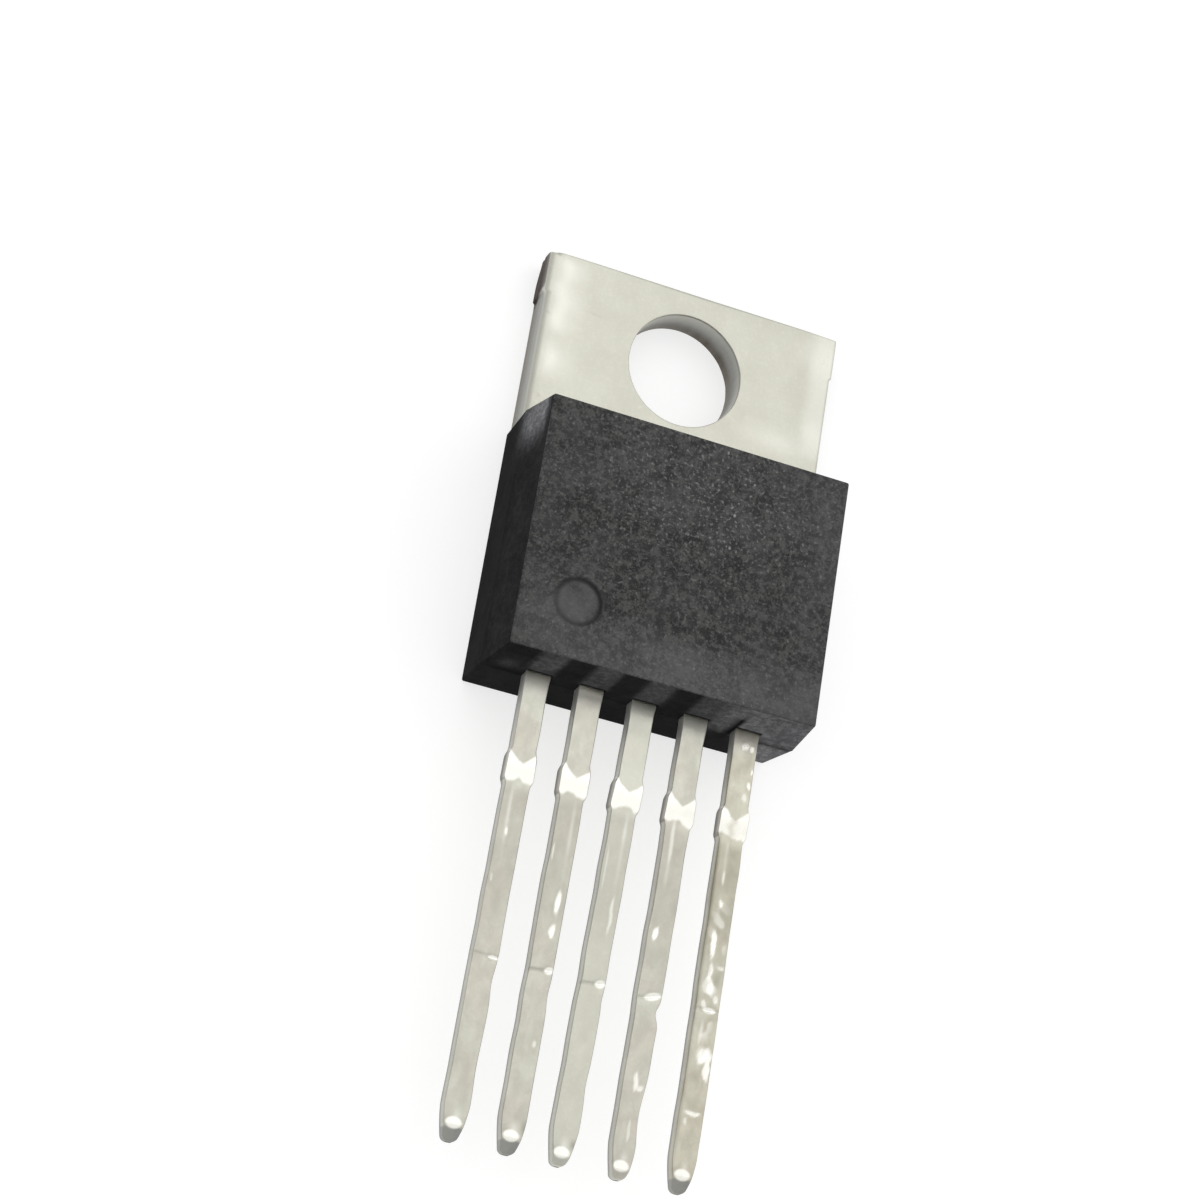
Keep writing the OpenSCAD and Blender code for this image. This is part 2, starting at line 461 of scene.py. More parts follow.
class Effects:
    """Node groups that more than one finish uses."""

    def __init__(self) -> None:
        """Builds each group once."""
        self.grain = self._grain()
        self.clouds = self._clouds()
        self.specks = self._specks()

    def relief(self, sheet: NodeSheet, place: object, size: float, rough: float) -> bpy.types.Node:
        """Places the fine relief in a material, with grains to a millimetre and how rough they are."""
        return sheet.group(self.grain, {"Place": place, "Size": size, "Roughness": rough})

    def tone(
        self, sheet: NodeSheet, place: object, look: tuple[float, object], *pair: object
    ) -> bpy.types.Node:
        """Places the uneven tone in a material.

        Args:
            sheet: the material's sheet.
            place: where the pattern is read.
            look: how fine the patches are and how strong.
            pair: the colour and what it drifts towards.

        Returns:
            The placed group.
        """
        names = ("Place", "Size", "Amount", "Colour", "Drift")
        return sheet.group(self.clouds, dict(zip(names, (place, *look, *pair))))

    @staticmethod
    def _grain() -> bpy.types.NodeTree:
        """Builds fine relief in two sizes.

        Returns:
            A group that gives a height, and a mask that is 1 on its crests.
        """
        takes = {"Place": VECTOR, "Size": NUMBER, "Roughness": NUMBER}
        sheet, get, give = new_group("fine_grain", takes, {"Height": NUMBER, "Crest": NUMBER})
        fine = sheet.add(
            "ShaderNodeTexNoise",
            None,
            {"Vector": get["Place"], "Scale": get["Size"], "Detail": 4.0, "Roughness": get["Roughness"]},
        )
        small = sheet.times(get["Size"], 3.7)
        values = {"Vector": get["Place"], "Scale": small, "Detail": 2.0, "Roughness": 0.5}
        finer = sheet.add("ShaderNodeTexNoise", None, values)
        height = sheet.between(0.3, fine.outputs[0], finer.outputs[0])
        sheet.feed(give["Height"], height)
        sheet.feed(give["Crest"], sheet.ramp(height, 0.48, 0.66))
        return sheet.tree

    @staticmethod
    def _clouds() -> bpy.types.NodeTree:
        """Builds a soft uneven tone: a colour drifts towards a second one in large patches.

        Returns:
            A group that gives the colour and how strong its patches are.
        """
        takes = {"Place": VECTOR, "Size": NUMBER, "Amount": NUMBER, "Colour": COLOUR, "Drift": COLOUR}
        sheet, get, give = new_group("uneven_tone", takes, {"Colour": COLOUR, "Patch": NUMBER})
        values = {"Vector": get["Place"], "Scale": get["Size"], "Detail": 3.0, "Distortion": 0.4}
        noise = sheet.add("ShaderNodeTexNoise", None, values)
        patch = sheet.ramp(noise.outputs[0], 0.32, 0.7)
        share = sheet.times(patch, get["Amount"])
        sheet.feed(give["Colour"], sheet.blend(share, get["Colour"], get["Drift"]))
        sheet.feed(give["Patch"], patch)
        return sheet.tree

    @staticmethod
    def _specks() -> bpy.types.NodeTree:
        """Builds small separate specks: a few of many cells are picked by their random colour.

        Returns:
            A group that gives a mask, which is 1 in the middle of the picked cells.
        """
        takes = {"Place": VECTOR, "Size": NUMBER, "Share": NUMBER}
        sheet, get, give = new_group("scattered_specks", takes, {"Mask": NUMBER})
        values = {"Vector": get["Place"], "Scale": get["Size"], "Randomness": 1.0}
        cells = sheet.add("ShaderNodeTexVoronoi", None, values)
        near = sheet.work_out("SUBTRACT", 1.0, sheet.ramp(cells.outputs["Distance"], 0.12, 0.34))
        pick = sheet.add("ShaderNodeSeparateColor", None, {"Color": cells.outputs["Color"]})
        chosen = sheet.work_out("LESS_THAN", pick.outputs[0], get["Share"])
        sheet.feed(give["Mask"], sheet.times(near, chosen))
        return sheet.tree


def new_material(name: str) -> tuple[bpy.types.Material, NodeSheet, bpy.types.Node]:
    """Starts a material.

    Args:
        name: name of the material.

    Returns:
        The material, its sheet and its surface shader.
    """
    material = bpy.data.materials.new(name)
    material.use_nodes = True
    sheet = NodeSheet(material.node_tree)
    shader = material.node_tree.nodes["Principled BSDF"]
    return material, sheet, shader


Colour = tuple[float, float, float]


def rgba(colour: Colour) -> tuple[float, float, float, float]:
    """A colour with full cover."""
    return (*colour, 1.0)


@dataclass(frozen=True)
class TinFinish:
    """Matte tin plate on copper, with sheared sides darkened partly by painted shade, painted highlights on
    pressed and rubbed spots, darker smudges with painted shade in creases, and bare copper cuts.

    Attributes:
        plate: colour of the matte plate.
        warm: colour that the plate drifts towards in patches.
        sheared: colour of the sheared side faces, whose darkness is partly painted shade.
        bright: colour of the painted highlights on pressed and rubbed spots.
        smudge: colour of the dull smudges beside them and of the painted shade.
        copper: colour of the bare cuts.
        copper_dark: colour of the tarnish on them.
        gloss: roughness of the plate and of its warm patches.
        metallic: how metallic it is.
        relief: height of the grain in millimetres.
    """

    plate: Colour = (0.600, 0.598, 0.522)
    warm: Colour = (0.572, 0.556, 0.474)
    sheared: Colour = (0.390, 0.390, 0.375)
    bright: Colour = (0.985, 0.972, 0.905)
    smudge: Colour = (0.330, 0.315, 0.270)
    copper: Colour = (0.060, 0.035, 0.025)
    copper_dark: Colour = (0.019, 0.011, 0.008)
    gloss: tuple[float, float] = (0.29, 0.35)
    metallic: float = 0.9
    relief: float = 0.01

    def build(self, name: str, effects: Effects, drift: float, mottle: float) -> bpy.types.Material:
        """Makes the material.

        Args:
            name: name of the material.
            effects: the shared node groups.
            drift: how far the plate drifts towards its warm colour.
            mottle: how strongly the plate is mottled with duller patches.

        Returns:
            The material.
        """
        material, sheet, shader = new_material(name)
        place = sheet.millimetres()
        tone = effects.tone(sheet, place, (0.9, drift), rgba(self.plate), rgba(self.warm))
        grain = effects.relief(sheet, place, 9.0, 0.6)
        crest = sheet.times(grain.outputs["Crest"], 0.10)
        colour = sheet.blend(crest, tone.outputs[0], rgba(self.bright))
        drawn_out = sheet.stretched(place, (1.0, 0.6, 1.0))
        colour = effects.tone(sheet, drawn_out, (2.4, mottle), colour, rgba(self.smudge)).outputs["Colour"]
        streaks = effects.relief(sheet, sheet.stretched(place, (9.0, 9.0, 0.9)), 1.6, 0.7)
        shade = rgba(tuple(0.62 * c for c in self.sheared))
        side = sheet.blend(streaks.outputs["Height"], rgba(self.sheared), shade)
        tarnish = effects.tone(sheet, place, (2.6, 1.0), rgba(self.copper), rgba(self.copper_dark))
        # The marks lay over the plate a darker side colour that is partly painted shade, smudges with
        # painted shade, painted highlights, and real bare copper.
        coats = {
            Mark.CUT: side,
            Mark.SMUDGE: rgba(self.smudge),
            Mark.BURNISH: rgba(self.bright),
            Mark.BARE: tarnish.outputs[0],
        }
        for mark, coat in coats.items():
            colour = sheet.blend(sheet.mark(mark), colour, coat)
        rough = sheet.between(tone.outputs["Patch"], *self.gloss)
        for mark, value in ((Mark.BURNISH, 0.25), (Mark.CUT, 0.55), (Mark.BARE, 0.6)):
            rough = sheet.between(sheet.mark(mark), rough, value)
        relief = sheet.between(sheet.mark(Mark.CUT), grain.outputs["Height"], streaks.outputs["Height"])
        strength = sheet.between(sheet.mark(Mark.BURNISH), 0.35, 0.05)
        bump = {"Height": relief, "Strength": strength, "Distance": self.relief * MM}
        sheet.skin(shader, colour, rough, bump)
        shader.inputs["Metallic"].default_value = self.metallic
        return material


@dataclass(frozen=True)
class EpoxyFinish:
    """Black filled moulding compound: a mottle of dark and light grains, paler where it is hazy and where
    reflection and sheen are painted, and darkened by painted shade in grooves.

    Attributes:
        dark: colour of the dark grains.
        light: colour of the light grains.
        hazy: colour where the surface is hazy.
        groove: colour of the painted shade in grooves and of the painted shadow lines.
        speck: colour of the small light specks of filler.
        speck_cover: how much a speck covers what is under it.
        fleck_cover: how much the many fainter flecks cover.
        uneven: how far the surface drifts towards the hazy colour in patches.
        gloss: lowest and highest roughness.
        specular: how strongly the surface reflects.
        relief: height of the grain in millimetres.
    """

    dark: Colour = (0.0050, 0.0051, 0.0050)
    light: Colour = (0.0625, 0.0628, 0.0595)
    # hazy: colour where the surface is hazy, and of the painted reflection and sheen.
    hazy: Colour = (0.0885, 0.0895, 0.0890)
    groove: Colour = (0.006, 0.006, 0.006)
    speck: Colour = (0.36, 0.37, 0.36)
    speck_cover: float = 0.75
    fleck_cover: float = 0.62
    uneven: float = 0.25
    gloss: tuple[float, float] = (0.55, 0.8)
    specular: float = 0.36
    relief: float = 0.03

    def build(self, name: str, effects: Effects) -> bpy.types.Material:
        """Makes the material.

        Args:
            name: name of the material.
            effects: the shared node groups.

        Returns:
            The material.
        """
        material, sheet, shader = new_material(name)
        place = sheet.millimetres()
        grain = effects.relief(sheet, place, 4.6, 0.70)
        calm = sheet.work_out("SUBTRACT", 1.0, sheet.times(sheet.mark(Mark.CALM), 0.75))
        share = sheet.ramp(grain.outputs["Height"], 0.43, 0.61)
        share = sheet.between(calm, 0.35, share)
        colour = sheet.blend(share, rgba(self.dark), rgba(self.light))
        tone = effects.tone(sheet, place, (1.1, self.uneven), colour, rgba(self.hazy))
        # Haze and painted reflection: the colour turns paler by the mark.
        haze = sheet.times(sheet.mark(Mark.HAZE), sheet.between(share, 0.55, 1.0))
        haze = sheet.times(haze, sheet.between(tone.outputs["Patch"], 0.80, 1.20))
        colour = sheet.blend(haze, tone.outputs[0], rgba(self.hazy))
        drawn_out = sheet.stretched(place, (1.0, 0.75, 1.0))
        specks = sheet.group(effects.specks, {"Place": drawn_out, "Size": 6.0, "Share": 0.016})
        sparkle = sheet.mark(Mark.SPARKLE)
        flecks = sheet.add("ShaderNodeTexNoise", None, {"Vector": place, "Scale": 9.5, "Detail": 2.0})
        fleck = sheet.times(sheet.ramp(flecks.outputs[0], 0.53, 0.82), self.fleck_cover)
        fleck = sheet.times(fleck, sheet.between(sparkle, 0.22, 1.0))
        fleck = sheet.times(fleck, calm)
        speck = sheet.times(specks.outputs[0], sheet.times(sparkle, self.speck_cover))
        cover = sheet.work_out("MAXIMUM", fleck, speck)
        colour = sheet.blend(cover, colour, rgba(self.speck))
        # Painted shade and shadow lines: the colour turns nearly black by the mark.
        colour = sheet.blend(sheet.mark(Mark.GROOVE), colour, rgba(self.groove))
        rough = sheet.between(grain.outputs["Height"], *self.gloss)
        relief = sheet.times(grain.outputs["Height"], calm)
        sheet.skin(shader, colour, rough, {"Height": relief, "Strength": 0.7, "Distance": self.relief * MM})
        shader.inputs["Specular IOR Level"].default_value = self.specular
        return material


@dataclass(frozen=True)
class InnerFinish:
    """Finish of a part inside the moulding: two colours in a grain, with its own gloss.

    Attributes:
        main: main colour.
        second: colour that it drifts towards.
        size: grain lines to a millimetre.
        metallic: how metallic it is.
        gloss: lowest and highest roughness.
        stretch: how the grain is drawn out along each axis.
        relief: height of the grain in millimetres.
    """

    main: Colour
    second: Colour
    size: float
    metallic: float
    gloss: tuple[float, float]
    stretch: tuple[float, float, float] = (1.0, 1.0, 1.0)
    relief: float = 0.004

    def build(self, name: str, effects: Effects) -> bpy.types.Material:
        """Makes the material.

        Args:
            name: name of the material.
            effects: the shared node groups.

        Returns:
            The material.
        """
        material, sheet, shader = new_material(name)
        place = sheet.stretched(sheet.millimetres(), self.stretch)
        grain = effects.relief(sheet, place, self.size, 0.6)
        tone = effects.tone(sheet, place, (0.4 * self.size, 0.8), rgba(self.main), rgba(self.second))
        crest = sheet.times(grain.outputs["Crest"], 0.3)
        colour = sheet.blend(crest, tone.outputs[0], rgba(self.second))
        height = grain.outputs["Height"]
        rough = sheet.between(height, *self.gloss)
        sheet.skin(shader, colour, rough, {"Height": height, "Strength": 0.5, "Distance": self.relief * MM})
        shader.inputs["Metallic"].default_value = self.metallic
        return material


# Leads


@dataclass(frozen=True)
class Dent:
    """A pressed spot on the front of a lead, with a painted highlight on it.

    Attributes:
        out: distance from the body along the lead.
        side: distance from the lead's middle.
        length: half length along the lead.
        width: half width across it.
        depth: how deep it is pressed.
        painted_highlight: how bright its painted highlight is; it also makes the spot smoother.
    """

    out: float
    side: float
    length: float
    width: float
    depth: float = 0.02
    painted_highlight: float = 1.0


@dataclass(frozen=True)
class Smudge:
    """A dull spot on the front of a lead.

    Attributes:
        out: distance from the body along the lead.
        side: distance from the lead's middle.
        length: half length along the lead.
        width: half width across it.
        strength: how dull it is.
    """

    out: float
    side: float
    length: float
    width: float
    strength: float = 0.5


@dataclass(frozen=True)
class Crease:
    """A press line across the front of a lead, with a painted highlight spot in it.

    Attributes:
        out: distance from the body.
        side: distance of the bright spot's middle from the lead's middle.
        width: half width of the bright spot.
        length: half length of the bright spot.
        slant: how far the line runs along the lead for each millimetre across it.
        smudge: how dark the painted shade in the line is beside the spot.
    """

    out: float
    side: float
    width: float
    length: float = 0.10
    slant: float = 0.0
    smudge: float = 0.3


@dataclass(frozen=True)
class Nick:
    """A shallow place where a lead's right edge draws in.

    Attributes:
        out: distance from the body.
        length: half its length along the lead.
        depth: how far the edge draws in.
    """

    out: float
    length: float
    depth: float


@dataclass
class Lead:
    """One flat lead: a rounded strip with its cut dam bar, press marks and bevelled tip.

    Attributes:
        position: place in the row.
        sway: sideways bend at the tip.
        dents: pressed spots with painted highlights.
        smudges: dull spots.
        crease: the press line across the front.
        tip: how the tip shows its cut.
        seed: which wandering curves its edges follow.
        wear: how far the painted highlight on the cut bar is taken out in its middle, which has worn dull.
        scuff: how strong the painted highlight speckle of the scuffs above the press line is.
        streak: where across the lead the faint painted highlight streak below the cut bar runs.
        nicks: where the right edge draws in.
        distance: distance between two leads of the row.
        body_far: where the lead leaves the body.
        height: height of its back face.
        thickness: thickness of the strip.
        width: width of the strip.
        length: length outside the body.
        dam_distance: distance from the body to the middle of the cut bar.
        dam_length: length of the cut bar.
        dam_height: how far the cut bar stands out on each side.
        tip_width: width at the end of the tip.
        tip_taper: length of the taper.
        tip_bevel: length of the bevel.
        tip_thickness: thickness at the end of the bevel.
        post_width: width of the bond post inside the body.
        post_distance: how far inside the body the post begins.
        post_length: length of the post.
        front_round: rounding of the front edges.
        back_round: rounding of the back edges.
        end_round: rounding of both ends.
        slab_end: where the slab ends that the centre lead comes from.
        tab_thickness: thickness of that slab.
    """

    position: Position
    sway: float
    dents: Sequence[Dent]
    smudges: Sequence[Smudge]
    crease: Crease
    tip: Tip
    seed: int
    wear: float = 0.0
    scuff: float = 0.0
    streak: float = 0.10
    nicks: Sequence[Nick] = ()
    distance: float = 1.7
    body_far: float = -11.7
    height: float = 2.1
    thickness: float = 0.44
    width: float = 0.8
    length: float = 14.0
    dam_distance: float = 2.9
    dam_length: float = 0.85
    dam_height: float = 0.08
    tip_width: float = 0.42
    tip_taper: float = 1.1
    tip_bevel: float = 0.5
    tip_thickness: float = 0.24
    post_width: float = 1.2
    post_distance: float = 0.9
    post_length: float = 1.1
    front_round: float = 0.035
    back_round: float = 0.03
    end_round: float = 0.06
    slab_end: float = -10.4
    tab_thickness: float = 1.3

    @property
    def dam_start(self) -> float:
        """Where the cut bar begins."""
        return self.dam_distance - self.dam_length / 2.0

    @property
    def dam_end(self) -> float:
        """Where the cut bar ends."""
        return self.dam_distance + self.dam_length / 2.0

    def _wander(self, value: np.ndarray, number: int, length: float) -> np.ndarray:
        """One of the lead's own wandering curves."""
        return ripple(value, self.seed + number, length)

    def _grid(self) -> BlockGrid:
        """The block that the lead is shaped from: across, along from the body, and from back to front.

        Across it runs from -2 to 2, where the part past 1 is the rounded edge. In height it runs from 0
        to 3, where the first and last part are the rounded edges.

        Returns:
            The block, with lines close together at the cut bar, the press line and the tip.
        """
        zone = corner_steps(5)
        middle = np.linspace(-1.0, 1.0, 27)
        across = np.concatenate([-1.0 - zone[::-1], [-0.965], middle[1:-1], [0.965], 1.0 + zone])
        high = np.concatenate([1.0 - zone[::-1], [1.08, 1.5, 1.92], 2.0 + zone])
        inner = -self.post_distance - self.post_length
        start = self.dam_start - self.dam_height
        end = self.dam_end + self.dam_height
        line = self.crease.out
        spans = stations(
            (inner, inner + self.end_round, 0.015),
            (inner + self.end_round, -self.post_distance - 0.02, 0.25),
            (-self.post_distance - 0.02, -self.post_distance + 0.02, 0.02),
            (-self.post_distance + 0.02, 0.0, 0.2),
            (0.0, start - 0.05, 0.06),
            (start - 0.05, end + 0.1, 0.025),
            (end + 0.1, line - 0.3, 0.055),
            (line - 0.3, line + 0.3, 0.022),
            (line + 0.3, self.length - 1.2, 0.055),
            (self.length - 1.2, self.length - self.end_round, 0.025),
        )
        turn = np.linspace(0.3, math.pi / 2.0, 5)
        along = np.concatenate([spans, self.length - self.end_round * (1.0 - np.sin(turn))])
        return BlockGrid(np.unique(np.round(across, 5)), np.unique(np.round(along, 5)), high)

    def _half_width(self, out: np.ndarray) -> np.ndarray:
        """Half the width: that of the post or the strip, plus the cut bar, less the taper.

        Args:
            out: distance from the body.

        Returns:
            The half width at each distance.
        """
        half = self.width / 2.0
        post = np.where(out < -self.post_distance - 0.01, self.post_width / 2.0, half)
        bar = rise(out, self.dam_start - 0.2, 0.34) * fall(out, self.dam_end + 0.16, 0.28)
        taper = np.clip((out - self.length + self.tip_taper) / self.tip_taper, 0.0, 1.0) ** 1.45
        return post + self.dam_height * bar - (half - self.tip_width / 2.0) * taper

    def _drawn_in(self, out: np.ndarray) -> np.ndarray:
        """How far the right edge is drawn in: the sum of a bell for each nick."""
        bells = (nick.depth * hump(out - nick.out, nick.length) for nick in self.nicks)
        return sum(bells, np.zeros_like(out))

    def _end_inset(self, out: np.ndarray) -> np.ndarray:
        """How far the section draws in at the tip: a quarter circle in the last stretch."""
        t = np.clip((out - self.length + self.end_round) / self.end_round, 0.0, 1.0)
        return self.end_round * (1.0 - np.sqrt(1.0 - t * t))

    def _thickness(self, out: np.ndarray) -> np.ndarray:
        """Thickness: even, then the bevel, which starts as a parabola and goes on straight.

        Args:
            out: distance from the body.

        Returns:
            The thickness at each distance.
        """
        bevel = self.tip_bevel * (1.0 if self.tip is Tip.BEVELLED else 0.6)
        t = np.clip((out - self.length + bevel) / bevel, 0.0, 1.0)
        eased = np.where(t < 0.3, t * t / 0.51, (t - 0.15) / 0.85)
        return self.thickness - (self.thickness - self.tip_thickness) * eased

    def _floor(self, out: np.ndarray) -> np.ndarray:
        """Height of the back face: level outside, and for the centre lead down to the slab inside.

        Args:
            out: distance from the body.

        Returns:
            The height at each distance.
        """
        if self.position is not Position.GROUND:
            return np.full_like(out, self.height)
        foot = self.slab_end - self.body_far
        low = self.tab_thickness - self.thickness - 0.02
        knots = {-foot - 0.4: low, -foot: low, -self.thickness: self.height}
        return np.interp(out, list(knots), list(knots.values()))

    def _dam_painted_highlight(self, side: np.ndarray, out: np.ndarray) -> np.ndarray:
        """Painted highlight where the trim tool pressed the front: two lobes at the edges that meet in the
        middle.

        The bright place lies between two lines across the strip. The upper one dips to a sharp notch in
        the middle, the lower one leans, and both wander. The middle is worn by a bell across.

        Args:
            side: distance from the lead's middle.
            out: distance from the body.

        Returns:
            How bright each place is.
        """
        notch = 1.0 - np.hypot(side - 0.03, 0.025) / 0.42
        upper = self.dam_start - 0.10 + 0.38 * notch + 0.04 * self._wander(side, 3, 0.13)
        lower = self.dam_end + 0.06 + 0.05 * self.position.value * side - 0.06 * notch
        lower = lower + 0.07 * self._wander(side, 4, 0.16)
        worn = 0.86 + 0.14 * self._wander(side + 0.4 * out, 9, 0.12) * self._wander(out, 2, 0.2)
        middle = hump(side + 0.02 + 0.12 * self._wander(out, 15, 0.2), 0.11)
        return rise(out, upper, 0.10) * fall(out, lower, 0.13) * worn * (1.0 - self.wear * middle)

    def _dented(self, dent: Dent, side: np.ndarray, out: np.ndarray) -> np.ndarray:
        """How strongly a dent shows: a bell along and across, both with a wandering outline.

        Args:
            dent: the dent.
            side: distance from the lead's middle.
            out: distance from the body.

        Returns:
            How strongly it shows at each place.
        """
        along = out - dent.out + 0.4 * min(dent.length, 0.14) * self._wander(side + 0.3 * out, 11, 0.11)
        waves = self._wander(out, 12, 0.12 + 0.5 * dent.length)
        across = side - dent.side + 0.45 * min(dent.width, 0.08) * waves
        spot = hump(along, dent.length) * hump(across, dent.width)
        return spot * (1.0 + 0.20 * self._wander(out + 2.0 * side, 8, 0.09))

    def _scuff_highlight(self, side: np.ndarray, out: np.ndarray) -> np.ndarray:
        """How bright the painted highlight speckle of the scuffs is: it shows where the sum of two
        wandering curves is high.

        Args:
            side: distance from the lead's middle.
            out: distance from the body.

        Returns:
            How bright each place is.
        """
        fine = self._wander(side + 0.35 * out, 21, 0.24) + self._wander(out - 0.8 * side, 22, 0.27)
        place = rise(out, 4.6, 2.6) * fall(out, 9.9, 1.2) * hump(side, 0.24)
        return self.scuff * rise(fine, 0.25, 0.7) * place

    def _tip_marks(self, side: np.ndarray, out: np.ndarray) -> tuple[np.ndarray, np.ndarray]:
        """Marks at the tip: a painted highlight on the crest, a faint painted highlight streak that leads
        to it and a darker left side.

        Args:
            side: distance from the lead's middle.
            out: distance from the body.

        Returns:
            The painted highlight and the darkening at each place.
        """
        crest = self.length - self.tip_bevel - (0.02 if self.tip is Tip.BEVELLED else -0.12)
        glow = hump(out - crest, 0.16) * hump(side + 0.02, 0.24)
        streak = hump(side - 0.02, 0.10) * rise(out, crest - 0.55, 0.4) * (out < crest)
        low_left = hump(side + 0.26, 0.12) * hump(out - crest + 0.05, 0.16)
        return rise(glow, 0.22, 0.3) + 0.35 * streak, 0.35 * low_left

    def _press(self, side: np.ndarray, out: np.ndarray) -> tuple[np.ndarray, np.ndarray, np.ndarray]:
        """Everything pressed into the front of the strip.

        The cut bar's facet slopes down towards the tip and comes back slowly. The crease is a narrow
        groove across the strip, and each dent and dull spot is a bell in both directions.

        Args:
            side: distance from the lead's middle.
            out: distance from the body.

        Returns:
            The depth, the painted highlight, and the darkening, which is partly smudges and partly painted
            shade.
        """
        start = self.dam_distance - 0.2
        end = self.dam_end
        facet = rise(out, start, end - start + 0.1) * fall(out, end + 2.2, 2.2)
        line = out - self.crease.out - self.crease.slant * side
        groove = hump(line, 0.05)
        spot = hump(line, self.crease.length) * hump(side - self.crease.side, self.crease.width)
        depth = 0.03 * facet + 0.012 * groove + 0.02 * spot
        # Painted highlights: a faint streak below the cut bar, the bar, the crease spot, the scuffs and the
        # dents, and a lightening near the body against the body's dark reflection.
        streak = hump(side - self.streak, 0.055) * rise(out, end, 0.3) * fall(out, 6.6, 2.6)
        painted_highlight = self._dam_painted_highlight(side, out) + rise(spot, 0.25, 0.35) + 0.30 * fall(out, 0.95, 0.8)
        painted_highlight = painted_highlight + 0.34 * streak * (0.6 + 0.4 * self._wander(out, 5, 0.5)) + self._scuff_highlight(side, out)
        # Painted shade in the crease line beside its spot, and a darkening below the cut bar that fades
        # towards the tip.
        smudge = self.crease.smudge * groove * fall(side, self.crease.side - self.crease.width + 0.06, 0.12)
        smudge = smudge + 0.36 * rise(out, end, 0.4) * (1.0 - 0.72 * rise(out, 5.6, 3.2))
        smudge = smudge + 0.07 * self._wander(out + 0.5 * side, 13, 0.34) * self._wander(side, 14, 0.22)
        for dent in self.dents:
            spot = self._dented(dent, side, out)
            depth = depth + 0.5 * dent.depth * spot
            painted_highlight = painted_highlight + dent.painted_highlight * rise(spot, 0.16, 0.52)
        for dull in self.smudges:
            bell = hump(out - dull.out, dull.length) * hump(side - dull.side, dull.width)
            smudge = smudge + dull.strength * bell
        tip_painted_highlight, tip_smudge = self._tip_marks(side, out)
        wave = 0.006 + 0.006 * self._wander(out, 6, 0.8)
        wave = wave + 0.002 * self._wander(out, 7, 0.3) * self._wander(side, 10, 0.2)
        return depth + wave, np.clip(painted_highlight + tip_painted_highlight, 0.0, 1.0), np.clip(smudge + tip_smudge, 0.0, 1.0)

    def _section(
        self, across: np.ndarray, out: np.ndarray, high: np.ndarray
    ) -> tuple[np.ndarray, np.ndarray]:
        """Places the points of the plain section.

        A point lies at its share of the flat part or, past it, on the edge's rounding, which is a
        quarter circle round the section's core. The section follows the half width and the thickness.

        Args:
            across: place across the block.
            out: distance from the body.
            high: place in the block's height.

        Returns:
            Each point's distance from the lead's middle and its height.
        """
        inset = self._end_inset(out)
        half = self._half_width(out) - inset - 0.07 * rise(out, self.length - 0.16, 0.16) ** 2
        low = self._floor(out) + inset
        top = self._floor(out) + self._thickness(out) - inset
        radius = np.where(high > 1.5, self.front_round, self.back_round)
        radius = np.minimum(radius, 0.45 * np.minimum(half, top - low))
        share = np.abs(across)
        flat = half - radius
        x = np.sign(across) * np.where(share > 1.0, flat + (share - 1.0) * radius, share * flat)
        level = (high - 1.0) * (top - low - self.back_round - self.front_round) + low + self.back_round
        z = np.where(high > 2.0, top - radius * (3.0 - high), level)
        z = np.where(high < 1.0, low + radius * high, z)
        core_x = np.clip(x, -flat, flat)
        core_z = np.clip(z, low + radius, top - radius)
        gap = np.hypot(x - core_x, z - core_z)
        pull = np.where(gap > 1e-7, radius / np.maximum(gap, 1e-9), 1.0)
        return core_x + pull * (x - core_x), core_z + pull * (z - core_z)

    def surface(self) -> Surface:
        """Carries the section along the lead, presses its front and bends it sideways.

        Returns:
            The lead's closed surface, from its inner end to its tip.
        """
        grid = self._grid()
        across, out, high = grid.places().T
        share = np.abs(across)
        x, z = self._section(across, out, high)
        depth, painted_highlight, smudge = self._press(x, out)
        outside = smooth(out / 0.2)
        front = rise(high, 1.5, 0.5) * outside
        edge = np.where(x > 0.0, self._wander(out, 0, 0.85), self._wander(out, 1, 0.85))
        x = x + np.sign(x) * (0.014 * edge - 0.014) * smooth(share - 0.5) * outside
        x = x * (1.0 - (x > 0.0) * self._drawn_in(out) / (self.width / 2.0))
        centre = self.position.value * self.distance + self.sway * np.clip(out, 0.0, None) / self.length
        points = np.stack([centre + x, self.body_far - out, z - depth * front], -1)
        # Sheared sides get a darker colour that is partly painted shade, lighter towards the front, the
        # more so further from the body.
        wall = np.where(high > 1.5, rise(share, 1.25, 0.75), rise(share, 1.7, 0.3))
        wall = wall * (1.0 - 0.72 * (0.25 + 0.75 * smooth(out / 2.6)) * rise(high, 1.02, 0.5))
        bar = np.abs(out - self.dam_distance) < self.dam_length / 2.0 + 0.02
        end_cut = (out > self.length - 1e-4).astype(float)
        # The tip's bevel is darkened as painted shade, less under the painted highlight and more on the
        # right.
        bevel = rise(out, self.length - self.tip_bevel + 0.02 + 0.6 * x * x, 0.10)
        bevel = bevel * (1.0 - np.clip(1.3 * painted_highlight, 0.0, 1.0)) * (0.85 + 0.15 * rise(x, -0.1, 0.3))
        marks = {
            Mark.CUT: np.maximum(np.maximum(wall, end_cut), bevel * (self.tip is Tip.BEVELLED)),
            Mark.BURNISH: painted_highlight * front,
            Mark.SMUDGE: smudge * front,
            Mark.BARE: np.where(bar, 0.45 * rise(share, 1.8, 0.2), 0.0) + 0.5 * end_cut,
        }
        return Surface(points, grid.quads()[:, ::-1], marks)

    def build(self, name: str, finish: bpy.types.Material) -> bpy.types.Object:
        """Makes the lead and lets it stand for its node.

        Args:
            name: name of the piece, which is its node's name with an ending.
            finish: the lead's finish.

        Returns:
            The lead.
        """
        piece = self.surface().build(name, Slot.TINNED_COPPER, finish)
        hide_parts(name.removesuffix("_surface"))
        return piece


# Heat tab


